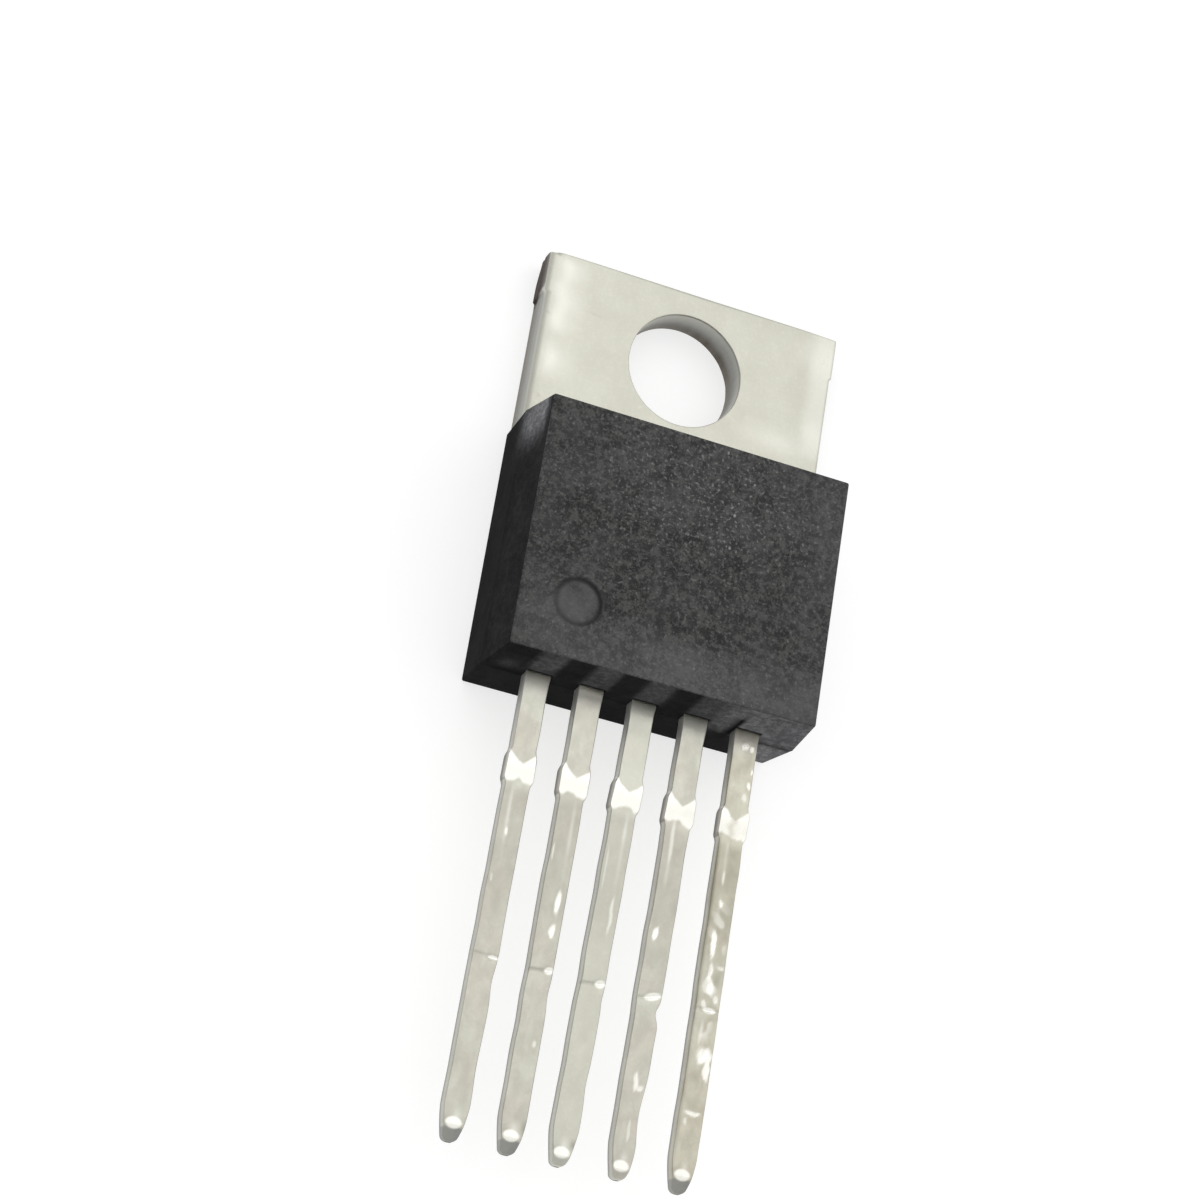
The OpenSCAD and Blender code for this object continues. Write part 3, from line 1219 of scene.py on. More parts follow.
@dataclass
class HeatTab:
    """The punched and plated tab with its mounting hole, stubs, shoulder and slab, and the centre lead.

    Attributes:
        centre_lead: the lead that is one piece with the slab.
        thickness: thickness of the copper.
        half_width: half the tab's width.
        hole_to_end: distance from the hole's middle to the tab's end.
        hole_radius: radius of the hole.
        stub_height: how far the cut stubs stand out on each side.
        stub_length: length of the stubs.
        shoulder_end: where the tab narrows inside the body.
        slab_half_width: half the slab's width.
        slab_end: where the slab ends.
        roll: how wide the sheared edge of both ends is rolled over.
        side_roll: the same for the left side.
        right_roll: the same for the right side.
        burr_round: rounding of the lower edge.
        hole_round: rounding of the hole's rim.
        stub_round: rounding of the stubs' corners.
        foot_round: rounding of the slab's corners.
    """

    centre_lead: Lead
    thickness: float = 1.3
    half_width: float = 4.94
    hole_to_end: float = 2.7
    hole_radius: float = 1.9
    stub_height: float = 0.06
    stub_length: float = 1.4
    shoulder_end: float = -3.6
    slab_half_width: float = 4.1
    slab_end: float = -10.4
    roll: float = 0.10
    side_roll: float = 0.34
    right_roll: float = 0.13
    burr_round: float = 0.04
    hole_round: float = 0.03
    stub_round: float = 0.045
    foot_round: float = 0.06

    def _outline(self) -> tuple[np.ndarray, np.ndarray]:
        """The tab's outline seen from the front, round the hole against the clock.

        Straight runs join the corners, and at each free corner the run is rounded by a quarter circle.

        Returns:
            The outline's points and how much each one belongs to a cut stub.
        """
        side = self.half_width
        stub = side + self.stub_height
        step = self.hole_to_end - self.stub_length
        far = self.hole_to_end
        slab = self.slab_half_width
        shoulder = self.shoulder_end
        r = self.stub_round
        foot = self.foot_round
        quarter = np.linspace(0.0, math.pi / 2.0, 6)
        right_half = np.concatenate(
            [
                turning((slab - foot, self.slab_end + foot), foot, -quarter)[::-1],
                straight((slab, self.slab_end + 0.12), (slab, shoulder - 0.1), 40),
                np.array([[slab, shoulder], [side - 0.02, shoulder], [side, shoulder + 0.02]]),
                straight((side, shoulder + 0.12), (side, step - 0.07), 44),
                np.array([[side, step - 0.03], [stub, step + 0.03]]),
                straight((stub, step + 0.1), (stub, far - r - 0.04), 14),
                turning((stub - r, far - r), r, quarter),
            ]
        )
        left_half = right_half[::-1] * np.array([-1.0, 1.0])
        top = straight((stub - r - 0.1, far), (-stub + r + 0.1, far), 80)
        base = straight((-slab + 0.15, self.slab_end), (slab - 0.15, self.slab_end), 50)
        outline = np.concatenate([right_half, top, left_half, base])
        across, along = outline.T
        on_stub = (np.abs(across) > side - 0.02) & (along > step - 0.4) & (along < far - 0.04)
        return outline, on_stub.astype(float)

    def _section(
        self, over: np.ndarray, low: np.ndarray
    ) -> tuple[np.ndarray, np.ndarray, np.ndarray, np.ndarray]:
        """The closed section from the hole's wall over the front and the side to the back.

        Its parts are the hole's wall, its rim, the front, the rolled edge, the side, the lower edge, the
        back and the hole's lower rim. Each edge is a quarter circle, drawn out where it is rolled.

        Args:
            over: how wide the outer edge is rolled over, one value for each point of the outline.
            low: how wide the lower edge is rounded, one value for each point of the outline.

        Returns:
            For each point of the section the share of the way from hole to outline and how far down a
            cut wall it lies, and for each point of the section and the outline the distance that is
            added to the way and the height.
        """
        t = self.thickness
        rim = self.hole_round
        quarter = np.linspace(0.0, math.pi / 2.0, 8)
        sine = np.sin(quarter)
        cosine = np.cos(quarter)
        wall = np.linspace(0.06, t - rim, 16)
        face = np.concatenate([[0.006], np.linspace(0.0, 1.0, 46)[1:-1], [0.994]])
        back = np.linspace(1.0, 0.0, 16)[1:-1]
        down = np.linspace(0.0, 1.0, 14)
        none = np.zeros_like(over)
        foot = 0.5 * (1.0 - np.cos(np.linspace(0.0, math.pi, 4)))
        share = [np.zeros(16), np.zeros(8), face, np.ones(8), np.ones(14), np.ones(8), back, np.zeros(4)]
        extra = [
            np.add.outer(0.012 * fall(wall, 0.55, 0.45), none),
            np.add.outer(rim * (1.0 - cosine), none),
            np.add.outer(rim * (1.0 - face), none) - np.outer(face, over),
            -np.outer(1.0 - sine, over),
            np.add.outer(-0.03 * rise(down, 0.5, 0.3), none),
            -0.03 - np.outer(1.0 - cosine, low),
            np.outer(0.05 * (1.0 - back), none + 1.0) - np.outer(back, 0.03 + low),
            np.add.outer(0.05 - 0.038 * foot, none),
        ]
        shoulder = t - 0.8 * over
        height = [
            np.add.outer(wall, none),
            np.add.outer(t - rim + rim * sine, none),
            np.add.outer(np.full(len(face), t), none),
            t - 0.8 * np.outer(1.0 - cosine, over),
            shoulder - np.outer(0.02 + 0.98 * down, shoulder - low - 0.02),
            np.outer(1.0 - sine, low),
            np.add.outer(np.zeros(len(back)), none),
            np.add.outer(0.05 * foot, none),
        ]
        cut = [
            # The hole's wall is darker deeper in, partly as painted shade, and its rim is darkened as
            # painted shade that dims its highlight.
            1.0 - 0.55 * rise(wall, 0.45, 0.75),
            0.45 * np.linspace(1.0, 0.0, 8) ** 2,
            np.zeros(len(face)),
            0.8 * np.linspace(0.0, 1.0, 8) ** 2.5,
            0.8 + 0.2 * down,
            np.linspace(1.0, 0.0, 8),
            np.zeros(len(back)),
            np.linspace(0.0, 1.0, 4),
        ]
        return tuple(np.concatenate(part) for part in (share, cut, extra, height))

    def surface(self) -> Surface:
        """Carries the section round the hole.

        A point lies on the straight line from the hole's rim to the outline, at its share of the way
        plus its own distance, and at its own height. The front falls a little towards both long sides.

        Returns:
            The closed ring of the tab, joined with the centre lead.
        """
        outline, on_stub = self._outline()
        across, along = outline.T
        at_side = rise(np.abs(across), self.half_width - 0.28, 0.25)
        side_roll = np.where(across < 0.0, self.side_roll, self.right_roll)
        cut_corner = np.hypot(across + self.half_width, along - self.hole_to_end)
        low = self.burr_round + 0.34 * hump(cut_corner, 0.55)
        share, cut, extra, z = self._section(self.roll + (side_roll - self.roll) * at_side, low)
        angle = np.arctan2(along, across)
        hole = turning((0.0, 0.0), self.hole_radius, angle)
        reach = np.linalg.norm(outline - hole, axis=1, keepdims=True)
        way = (outline - hole) / reach
        travel = share[None, :] * reach + extra.T
        x = hole[:, :1] + way[:, :1] * travel
        y = hole[:, 1:] + way[:, 1:] * travel
        z = z.T
        in_hole = ((share == 0.0) & (cut > 0.02))[None, :]
        x = np.where(in_hole, x * (1.0 + 0.003 * ripple(angle * 6.0, 31, 0.5)[:, None]), x)
        front = rise(z, self.thickness - 0.3, 0.3)
        sides = rise(np.abs(x), 3.1, 1.9)
        z = z - front * (0.035 * sides * sides + 0.002 + 0.002 * ripple(x, 41, 2.1) * ripple(y, 42, 2.3))
        number = np.arange(x.size).reshape(x.shape)
        number = np.concatenate([number, number[:1]])
        number = np.concatenate([number, number[:, :1]], 1)
        points = np.stack([x, y, z], -1).reshape(-1, 3)
        on_side = (share == 1.0)[None, :]
        wall = np.broadcast_to(cut[None, :], x.shape)
        marks = self._marks((x, y, z), wall, (in_hole, on_side, on_stub[:, None]), front)
        ring = Surface(points, grid_quads(number, True), marks)
        return ring.joined(self.centre_lead.surface())

    def _marks(
        self,
        place: tuple[np.ndarray, np.ndarray, np.ndarray],
        wall: np.ndarray,
        zones: tuple[np.ndarray, np.ndarray, np.ndarray],
        front: np.ndarray,
    ) -> dict[Mark, np.ndarray]:
        """How each point of the ring was cut, torn bare and smudged, with painted shade in the hole and low
        on the sides and painted highlights on the front.

        Args:
            place: X, Y and Z of each point.
            wall: how far down a cut wall it lies.
            zones: whether it lies in the hole, on the side and on a cut stub.
            front: how much it belongs to the front.

        Returns:
            Each mark's strength for each point.
        """
        x, y, z = place
        in_hole, on_side, on_stub = zones
        turn = np.arctan2(y, x)
        # Painted shade: the hole's wall darker on one side.
        corner = hump(turn - 0.60, 0.60) * in_hole
        deep = fall(z, 0.85, 0.7)
        stub = on_stub * rise(wall, 0.25, 0.35) * on_side
        stub = stub * rise(y - 0.42 * z, 0.96, 0.14) * (0.74 + 0.26 * fall(z, 1.1, 0.5))
        foot = 0.28 * fall(z, 0.95, 0.6) * on_side
        # The torn break zone low in the hole, darker on one side as painted shade.
        torn_and_shaded = in_hole * fall(z, 0.78, 0.5) * (0.30 + 0.45 * hump(turn - 0.95, 0.75))
        torn_and_shaded = torn_and_shaded * (0.85 + 0.15 * ripple(6.0 * turn, 57, 0.4))
        # Painted shade deep in the hole and low on the sides, and the front's dull places.
        dull = deep * (0.75 * in_hole + 0.25 * corner) + 0.85 * deep * on_side
        dull = dull + self._dull(x, y) * (1.0 - wall) * front
        rolled = fall(x, -4.72, 0.14) * rise(y, 1.10, 0.25) * rise(z, 0.94, 0.14)
        marks = {
            Mark.CUT: np.clip(wall * (1.0 - 0.75 * rolled) + 0.3 * corner, 0.0, 1.0),
            Mark.BARE: np.maximum(np.maximum(stub, foot), torn_and_shaded),
            Mark.BURNISH: 0.62 * self._painted_highlight(x, y) * (1.0 - wall) * front,
            Mark.SMUDGE: np.clip(dull, 0.0, 1.0),
        }
        return {mark: strength.ravel() for mark, strength in marks.items()}

    @staticmethod
    def _painted_highlight(x: np.ndarray, y: np.ndarray) -> np.ndarray:
        """Painted highlights on the front: two soft patches by the left side and a band by the right.

        The patches and bands are bells and soft steps, which add up towards full brightness.

        Args:
            x: place across the tab.
            y: place along the tab.

        Returns:
            How bright each place is.
        """
        wander = x + 0.09 * ripple(y, 51, 0.5)
        high = 0.95 * hump(wander + 4.38, 0.19) + 0.50 * hump(wander + 4.20, 0.48)
        high = high * rise(y, -0.2, 0.5) * fall(y, 2.66, 0.4) * (0.78 + 0.22 * ripple(y, 53, 0.35))
        low = (0.7 * hump(wander + 4.42, 0.19) + 0.35 * hump(wander + 4.3, 0.48)) * hump(y + 1.0, 0.42)
        wide = 0.16 * fall(x, -3.4, 0.9) * rise(y, -1.9, 0.6)
        along = 0.62 + 0.36 * hump(y - 1.65, 0.60) + 0.30 * hump(y + 0.85, 0.38)
        right = rise(x, 4.0, 0.55) * along * rise(y, -1.85, 0.5) * (0.9 + 0.1 * ripple(y, 52, 0.7))
        corner = 0.26 * rise(x, 3.2, 1.0) * hump(y - 1.95, 0.50)
        foot = 0.40 * hump(x - 3.4, 0.9) * hump(y + 1.5, 0.35)
        painted_glint = 1.2 * hump(np.hypot(x + 1.25, 1.6 * (y + 1.69)), 0.05)
        return 1.0 - np.exp(-(high + low + wide + right + corner + foot + painted_glint))

    @staticmethod
    def _dull(x: np.ndarray, y: np.ndarray) -> np.ndarray:
        """Where the front is dull: along the top, by the hole, and in a short scratch with two specks.

        Args:
            x: place across the tab.
            y: place along the tab.

        Returns:
            How dull each place is.
        """
        top = 0.08 * rise(y, 2.0, 0.6) * rise(x, -0.5, 1.5) * fall(x, 4.4, 0.8)
        beside = 0.05 * hump(x - 2.7, 0.5) * (1.0 + ripple(2.0 * x + y, 55, 0.4)) * hump(y + 0.1, 0.5)
        scratch = 0.22 * hump(x + 3.2, 0.26) * hump(y - 0.92 + 0.12 * (x + 3.2), 0.035)
        specks = 0.5 * hump(np.hypot(x + 4.75, y - 0.55), 0.06)
        specks = specks + 0.4 * hump(np.hypot(x + 4.6, y + 2.3), 0.05)
        return top + beside + scratch + specks

    def build(self, finish: bpy.types.Material) -> bpy.types.Object:
        """Makes the tab with the centre lead and lets it stand for its node.

        Args:
            finish: the tab's finish.

        Returns:
            The tab.
        """
        piece = self.surface().build("heat_tab_surface", Slot.TINNED_COPPER, finish)
        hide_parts("heat_tab")
        return piece


# Moulded body


@dataclass
class MouldedBody:
    """The moulding: a block that leans in from its parting line, with the ejector mark in front.

    Attributes:
        half_width: half the width at the parting line.
        near: where the body begins, on the tab's side.
        far: where it ends, on the leads' side.
        thickness: height of the front over the back.
        parting: height of the parting line.
        front_side_inset: how far each side leans in up to the front.
        front_end_inset: how far each end leans in up to the front.
        back_inset: how far sides and lead end lean in down to the back.
        edge_round: rounding of every edge.
        mark_x: the ejector mark's middle, across.
        mark_y: the ejector mark's middle, along.
        mark_radius: its radius.
        mark_depth: its depth.
        slab_half_width: half the width of the slab in the back.
        slab_end: where the slab ends.
        tab_half_width: half the width of the tab in the back.
        shoulder_end: where the tab narrows to the slab.
        lead_distance: distance between two leads.
        lead_half_width: half a lead's width.
        lead_front: height of the leads' front.
        pocket: how deep the back opens where the tab lies.
    """

    half_width: float = 5.12
    near: float = -3.3
    far: float = -11.7
    thickness: float = 4.2
    parting: float = 2.1
    front_side_inset: float = 0.22
    front_end_inset: float = 0.18
    back_inset: float = 0.1
    edge_round: float = 0.07
    mark_x: float = -3.07
    mark_y: float = -9.75
    mark_radius: float = 0.73
    mark_depth: float = 0.05
    slab_half_width: float = 4.1
    slab_end: float = -10.4
    tab_half_width: float = 4.94
    shoulder_end: float = -3.6
    lead_distance: float = 1.7
    lead_half_width: float = 0.4
    lead_front: float = 2.54
    pocket: float = 0.5

    def _axis(self, low: float, high: float, spans: Sequence[tuple[float, float, float]]) -> np.ndarray:
        """Positions between two edges, closer together in both rounded edges and in the given stretches.

        Args:
            low: the lower edge.
            high: the upper edge.
            spans: middle, half length and spacing of each stretch.

        Returns:
            All positions in rising order.
        """
        r = self.edge_round
        zone = r * corner_steps(5)
        stretches = [(middle - reach, middle + reach, spacing) for middle, reach, spacing in spans]
        inner = stations((low + r, high - r, 0.24), *stretches)
        support = np.array([low + r + 0.02, high - r - 0.02])
        both = np.concatenate([low + r - zone, inner, support, high - r + zone])
        return np.unique(np.round(both, 4))

    def _grid(self) -> BlockGrid:
        """The block that the body is shaped from.

        Returns:
            The block, with lines close together at the mark, the leads, the tab and the parting line.
        """
        mark = self.mark_radius + 0.12
        sides = [
            (sign * place, reach, 2.0 * reach)
            for place, reach in ((self.slab_half_width, 0.01), (self.tab_half_width, 0.005))
            for sign in (-1, 1)
        ]
        leads = [
            (number * self.lead_distance + sign * self.lead_half_width, 0.09, 0.03)
            for number in range(-2, 3)
            for sign in (-1, 1)
        ]
        across = [(self.mark_x, mark, 0.03), *sides, *leads]
        along = [(self.mark_y, mark, 0.03), (self.slab_end, 0.01, 0.02), (self.shoulder_end, 0.01, 0.02)]
        high = [(self.parting, 0.09, 0.03), (self.lead_front + 0.13, 0.19, 0.03)]
        return BlockGrid(
            self._axis(-self.half_width, self.half_width, across),
            self._axis(self.far, self.near, along),
            self._axis(0.0, self.thickness, high),
        )

    def _mark(self, x: np.ndarray, y: np.ndarray) -> tuple[np.ndarray, np.ndarray]:
        """The ejector mark: a level floor with a fine groove round it, by the distance to its middle.

        Args:
            x: place across the body.
            y: place along the body.

        Returns:
            How deep the front is at each place, and how much of the place is the mark's floor.
        """
        gap = np.hypot(x - self.mark_x, y - self.mark_y) - self.mark_radius
        floor = fall(gap, 0.02, 0.06)
        groove = hump(gap + 0.045, 0.045)
        return 0.6 * self.mark_depth * floor + 0.4 * self.mark_depth * groove, floor

    def _from_lead(self, x: np.ndarray) -> np.ndarray:
        """Distance to the middle of the nearest lead."""
        return np.abs(x - self.lead_distance * np.clip(np.round(x / self.lead_distance), -2, 2))

    def _over_lead(self, x: np.ndarray) -> np.ndarray:
        """1 over a lead's width, and 0 between the leads."""
        return fall(self._from_lead(x), self.lead_half_width + 0.05, 0.06)

    def _dip(self, x: np.ndarray, z: np.ndarray) -> np.ndarray:
        """The short dip over each lead: 1 in it, by soft steps across and in height."""
        band = rise(z, self.lead_front - 0.06, 0.04) * fall(z, self.lead_front + 0.1, 0.06)
        return self._over_lead(x) * band

    def _faces(self, places: np.ndarray) -> tuple[np.ndarray, np.ndarray, np.ndarray]:
        """Says which points of the block are on its front, its lead end and its tab end."""
        _, along, high = places.T
        front = rise(high, self.thickness - 0.02, 0.01)
        return front, fall(along, self.far + 0.02, 0.01), rise(along, self.near - 0.02, 0.01)

    def surface(self) -> Surface:
        """Shapes the block.

        Each point is pushed onto an edge rounding of even radius, then drawn in by how far its height
        is from the parting line. The front sinks at the ejector mark, the lead end has a dip over each
        lead and a trace of flash on the parting line, and the back opens where the slab lies.

        Returns:
            The body's closed surface.
        """
        grid = self._grid()
        places = grid.places()
        r = self.edge_round
        low = np.array([-self.half_width, self.far, 0.0]) + r
        high = np.array([self.half_width, self.near, self.thickness]) - r
        core = np.clip(places, low, high)
        away = places - core
        points = core + r * away / np.linalg.norm(away, axis=1, keepdims=True)
        x, y, z = points.T
        heights = [0.0, self.parting, self.thickness]
        side = np.interp(z, heights, [self.back_inset, 0.0, self.front_side_inset])
        middle = (self.near + self.far) / 2.0
        back_end = np.where(y < middle, self.back_inset, 0.1 * self.back_inset)
        end = np.interp(z, heights, [1.0, 0.0, 0.0]) * back_end
        end = end + np.interp(z, heights, [0.0, 0.0, self.front_end_inset])
        x = x * (1.0 - side / self.half_width)
        y = middle + (y - middle) * (1.0 - 2.0 * end / (self.near - self.far))
        front, lead_end, _ = self._faces(places)
        z = z - self._mark(x, y)[0] * front
        flash = hump(z - self.parting, 0.03) * (0.35 + 0.65 * np.abs(ripple(x, 71, 0.18)))
        y = y + lead_end * (0.05 * self._dip(x, z) - 0.012 * flash)
        in_slab = (np.abs(x) < self.slab_half_width) & (y > self.slab_end)
        in_shoulder = (np.abs(x) < self.tab_half_width) & (y > self.shoulder_end)
        z = np.where((places[:, 2] < 1e-6) & (in_slab | in_shoulder), self.pocket, z)
        points = np.stack([x, y, z], -1)
        return Surface(points, grid.quads(), self._marks(points, self._faces(places)))

    def _marks(
        self, points: np.ndarray, faces: tuple[np.ndarray, np.ndarray, np.ndarray]
    ) -> dict[Mark, np.ndarray]:
        """How hazy, dark, calm or sparkling the moulding is at each point; much of the wall haze is painted
        reflection and sheen, and much of the dark is painted shade and shadow.

        Args:
            points: one row of X, Y and Z for each point.
            faces: whether the point is on the front, the lead end and the tab end.

        Returns:
            Each mark's strength for each point.
        """
        x, y, z = points.T
        front, lead_end, tab_end = faces
        floor = self._mark(x, y)[1]
        gap = np.hypot(x - self.mark_x, y - self.mark_y) - self.mark_radius
        turn = np.arctan2(y - self.mark_y, x - self.mark_x)
        # Painted shade in the groove round the ejector mark, stronger on one side.
        ring = hump(gap + 0.03, 0.092 + 0.018 * ripple(turn, 61, 0.4)) * (0.74 + 0.26 * np.cos(turn - 0.7))
        mottle = 0.55 + 0.26 * ripple(x + 0.6 * y, 62, 0.42) + 0.24 * ripple(y - 0.5 * x, 63, 0.30)
        mottle = mottle + 0.30 * ripple(x, 64, 0.16) * ripple(y, 65, 0.17) + 0.14 * (x - self.mark_x)
        # Dark lines on the lead end: one above the parting line on the left, one upright left of the last
        # lead, and a painted shadow line over each lead's exit.
        seam = 0.9 * hump(z - self.parting - 0.1, 0.06) * fall(x, -2.9, 0.3) * rise(x, -4.75, 0.25)
        upright = hump(x - 2.93, 0.085) * rise(z, 1.2, 0.3) * fall(z, 3.5, 0.35)
        line = rise(z, self.lead_front - 0.04, 0.03) * fall(z, self.lead_front + 0.20, 0.08)
        crease = seam + upright + self._over_lead(x) * line
        # Painted reflection of the leads and painted light on the lead end, and painted sheen on the long
        # sides.
        end_painted_reflection = self._end_painted_reflection(x, z) * (1.0 - 0.9 * np.clip(crease, 0.0, 1.0))
        painted_wall_light = self._wall_painted_sheen(y, z) * (1.0 - lead_end) * (1.0 - tab_end)
        painted_wall_light = painted_wall_light + end_painted_reflection * lead_end + 0.045 * tab_end
        haze = (self._front_haze(x, y) + floor * mottle) * front + painted_wall_light * (1.0 - front)
        # Painted shade in the ejector mark's groove and in the dip over each lead, with the dark lines.
        groove = ring * front + lead_end * (0.9 * self._dip(x, z) + crease)
        calm = 0.6 * floor * front + 0.45 * self._calm(x, y) * front
        sparkle = np.clip(0.2 + hump(x - 0.2, 3.0) * hump(y + 5.4, 2.2), 0.0, 1.0) * front
        marks = {Mark.HAZE: haze, Mark.GROOVE: groove, Mark.CALM: calm, Mark.SPARKLE: sparkle}
        return {mark: np.clip(strength, 0.0, 1.0) for mark, strength in marks.items()}

    @staticmethod
    def _front_haze(x: np.ndarray, y: np.ndarray) -> np.ndarray:
        """How hazy the front is: paler towards the lead end, by the mark and over the upper right.

        Args:
            x: place across the body.
            y: place along the body.

        Returns:
            How hazy each place is.
        """
        low = 0.74 * fall(y, -9.4, 1.5) * (1.0 - 0.5 * hump(x + 4.9, 0.5))
        low = low + 0.36 * hump(x - 1.0, 2.0) * fall(y, -9.9, 0.9)
        upper = 0.16 * rise(x, -4.2, 2.2) * rise(y, -7.0, 1.4) + 0.10 * rise(y, -7.2, 1.4)
        side = 0.26 * hump(x - 4.7, 0.9)
        left = 0.33 * hump(x + 3.9, 1.1) * hump(y + 9.6, 1.2)
        return low + upper + side + left

    @staticmethod
    def _wall_painted_sheen(y: np.ndarray, z: np.ndarray) -> np.ndarray:
        """Painted sheen on the long sides: a pale patch by the tab that fades towards leads and back, and a
        faint lightening towards the front.
        """
        near = rise(y, -5.6, 1.9) * rise(z, 0.9, 2.2)
        return 0.034 * rise(z, 1.7, 1.2) + 0.96 * near * near * fall(z, 4.04, 0.42)

    def _end_painted_reflection(self, x: np.ndarray, z: np.ndarray) -> np.ndarray:
        """Painted reflection and light on the lead end: paler over each lead and towards the right side,
        with a paler lower right corner and a small painted highlight on the left.

        Args:
            x: place across the leads.
            z: height over the back face.

        Returns:
            How strong the painted light is at each place.
        """
        over = fall(self._from_lead(x), self.lead_half_width + 0.14, 0.26) * rise(z, 2.45, 0.25)
        right = rise(x, 1.3, 1.5) * rise(z, 1.8, 0.5)
        low_right = 0.85 * rise(x, 3.75, 0.5) * fall(z, 2.06, 0.2)
        spot = 0.11 * hump(x + 4.45, 0.3) * hump(z - 2.75, 0.28)
        return np.maximum(np.maximum(0.205 * over, 0.50 * right), low_right) + spot

    @staticmethod
    def _calm(x: np.ndarray, y: np.ndarray) -> np.ndarray:
        """Where the front's grain is weaker: towards the lead end, away from the middle."""
        return fall(y, -9.0, 3.0) * rise(np.abs(x), 1.5, 3.5)

    def build(self, front: bpy.types.Material, walls: bpy.types.Material) -> bpy.types.Object:
        """Makes the body and lets it stand for its node.

        Args:
            front: finish of the mottled front.
            walls: finish of the sides, the ends and the back.

        Returns:
            The body.
        """
        surface = self.surface()
        height = surface.points[surface.faces][:, :, 2].min(1)
        on_wall = height < self.thickness - self.mark_depth - 0.02
        piece = surface.build("moulded_body_surface", Slot.BLACK_EPOXY, front, walls, on_wall)
        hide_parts("moulded_body")
        return piece


# Parts inside the body


@dataclass
class InnerParts:
    """The die, its solder and the bond wires, which keep their own solids and get their finishes.

    Attributes:
        die: finish of the silicon chip.
        solder: finish of the solder under it.
        wire: finish of the drawn aluminium wires.
    """

    die: InnerFinish = InnerFinish((0.16, 0.17, 0.21), (0.30, 0.31, 0.38), 6.0, 0.55, (0.18, 0.34))
    solder: InnerFinish = InnerFinish((0.46, 0.455, 0.43), (0.30, 0.30, 0.29), 8.0, 0.9, (0.3, 0.55))
    wire: InnerFinish = InnerFinish(
        (0.80, 0.81, 0.82), (0.62, 0.63, 0.64), 10.0, 1.0, (0.22, 0.4), (1.0, 0.12, 1.0), 0.002
    )

    def dress(self, effects: Effects) -> None:
        """Puts a finish on each of the solids.

        Args:
            effects: the shared node groups.
        """
        die = self.die.build("silicon_die", effects)
        solder = self.solder.build("soft_solder", effects)
        wire = self.wire.build("aluminium_wire", effects)
        plan = {"regulator_die": die, "die_solder": solder}
        plan.update({f"{position.name.lower()}_bond_wire": wire for position in Position})
        for name, material in plan.items():
            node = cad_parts[name]
            node.data.materials.clear()
            node.data.materials.append(material)
            log.info("%s: finish %s", name, material.name)


# Studio


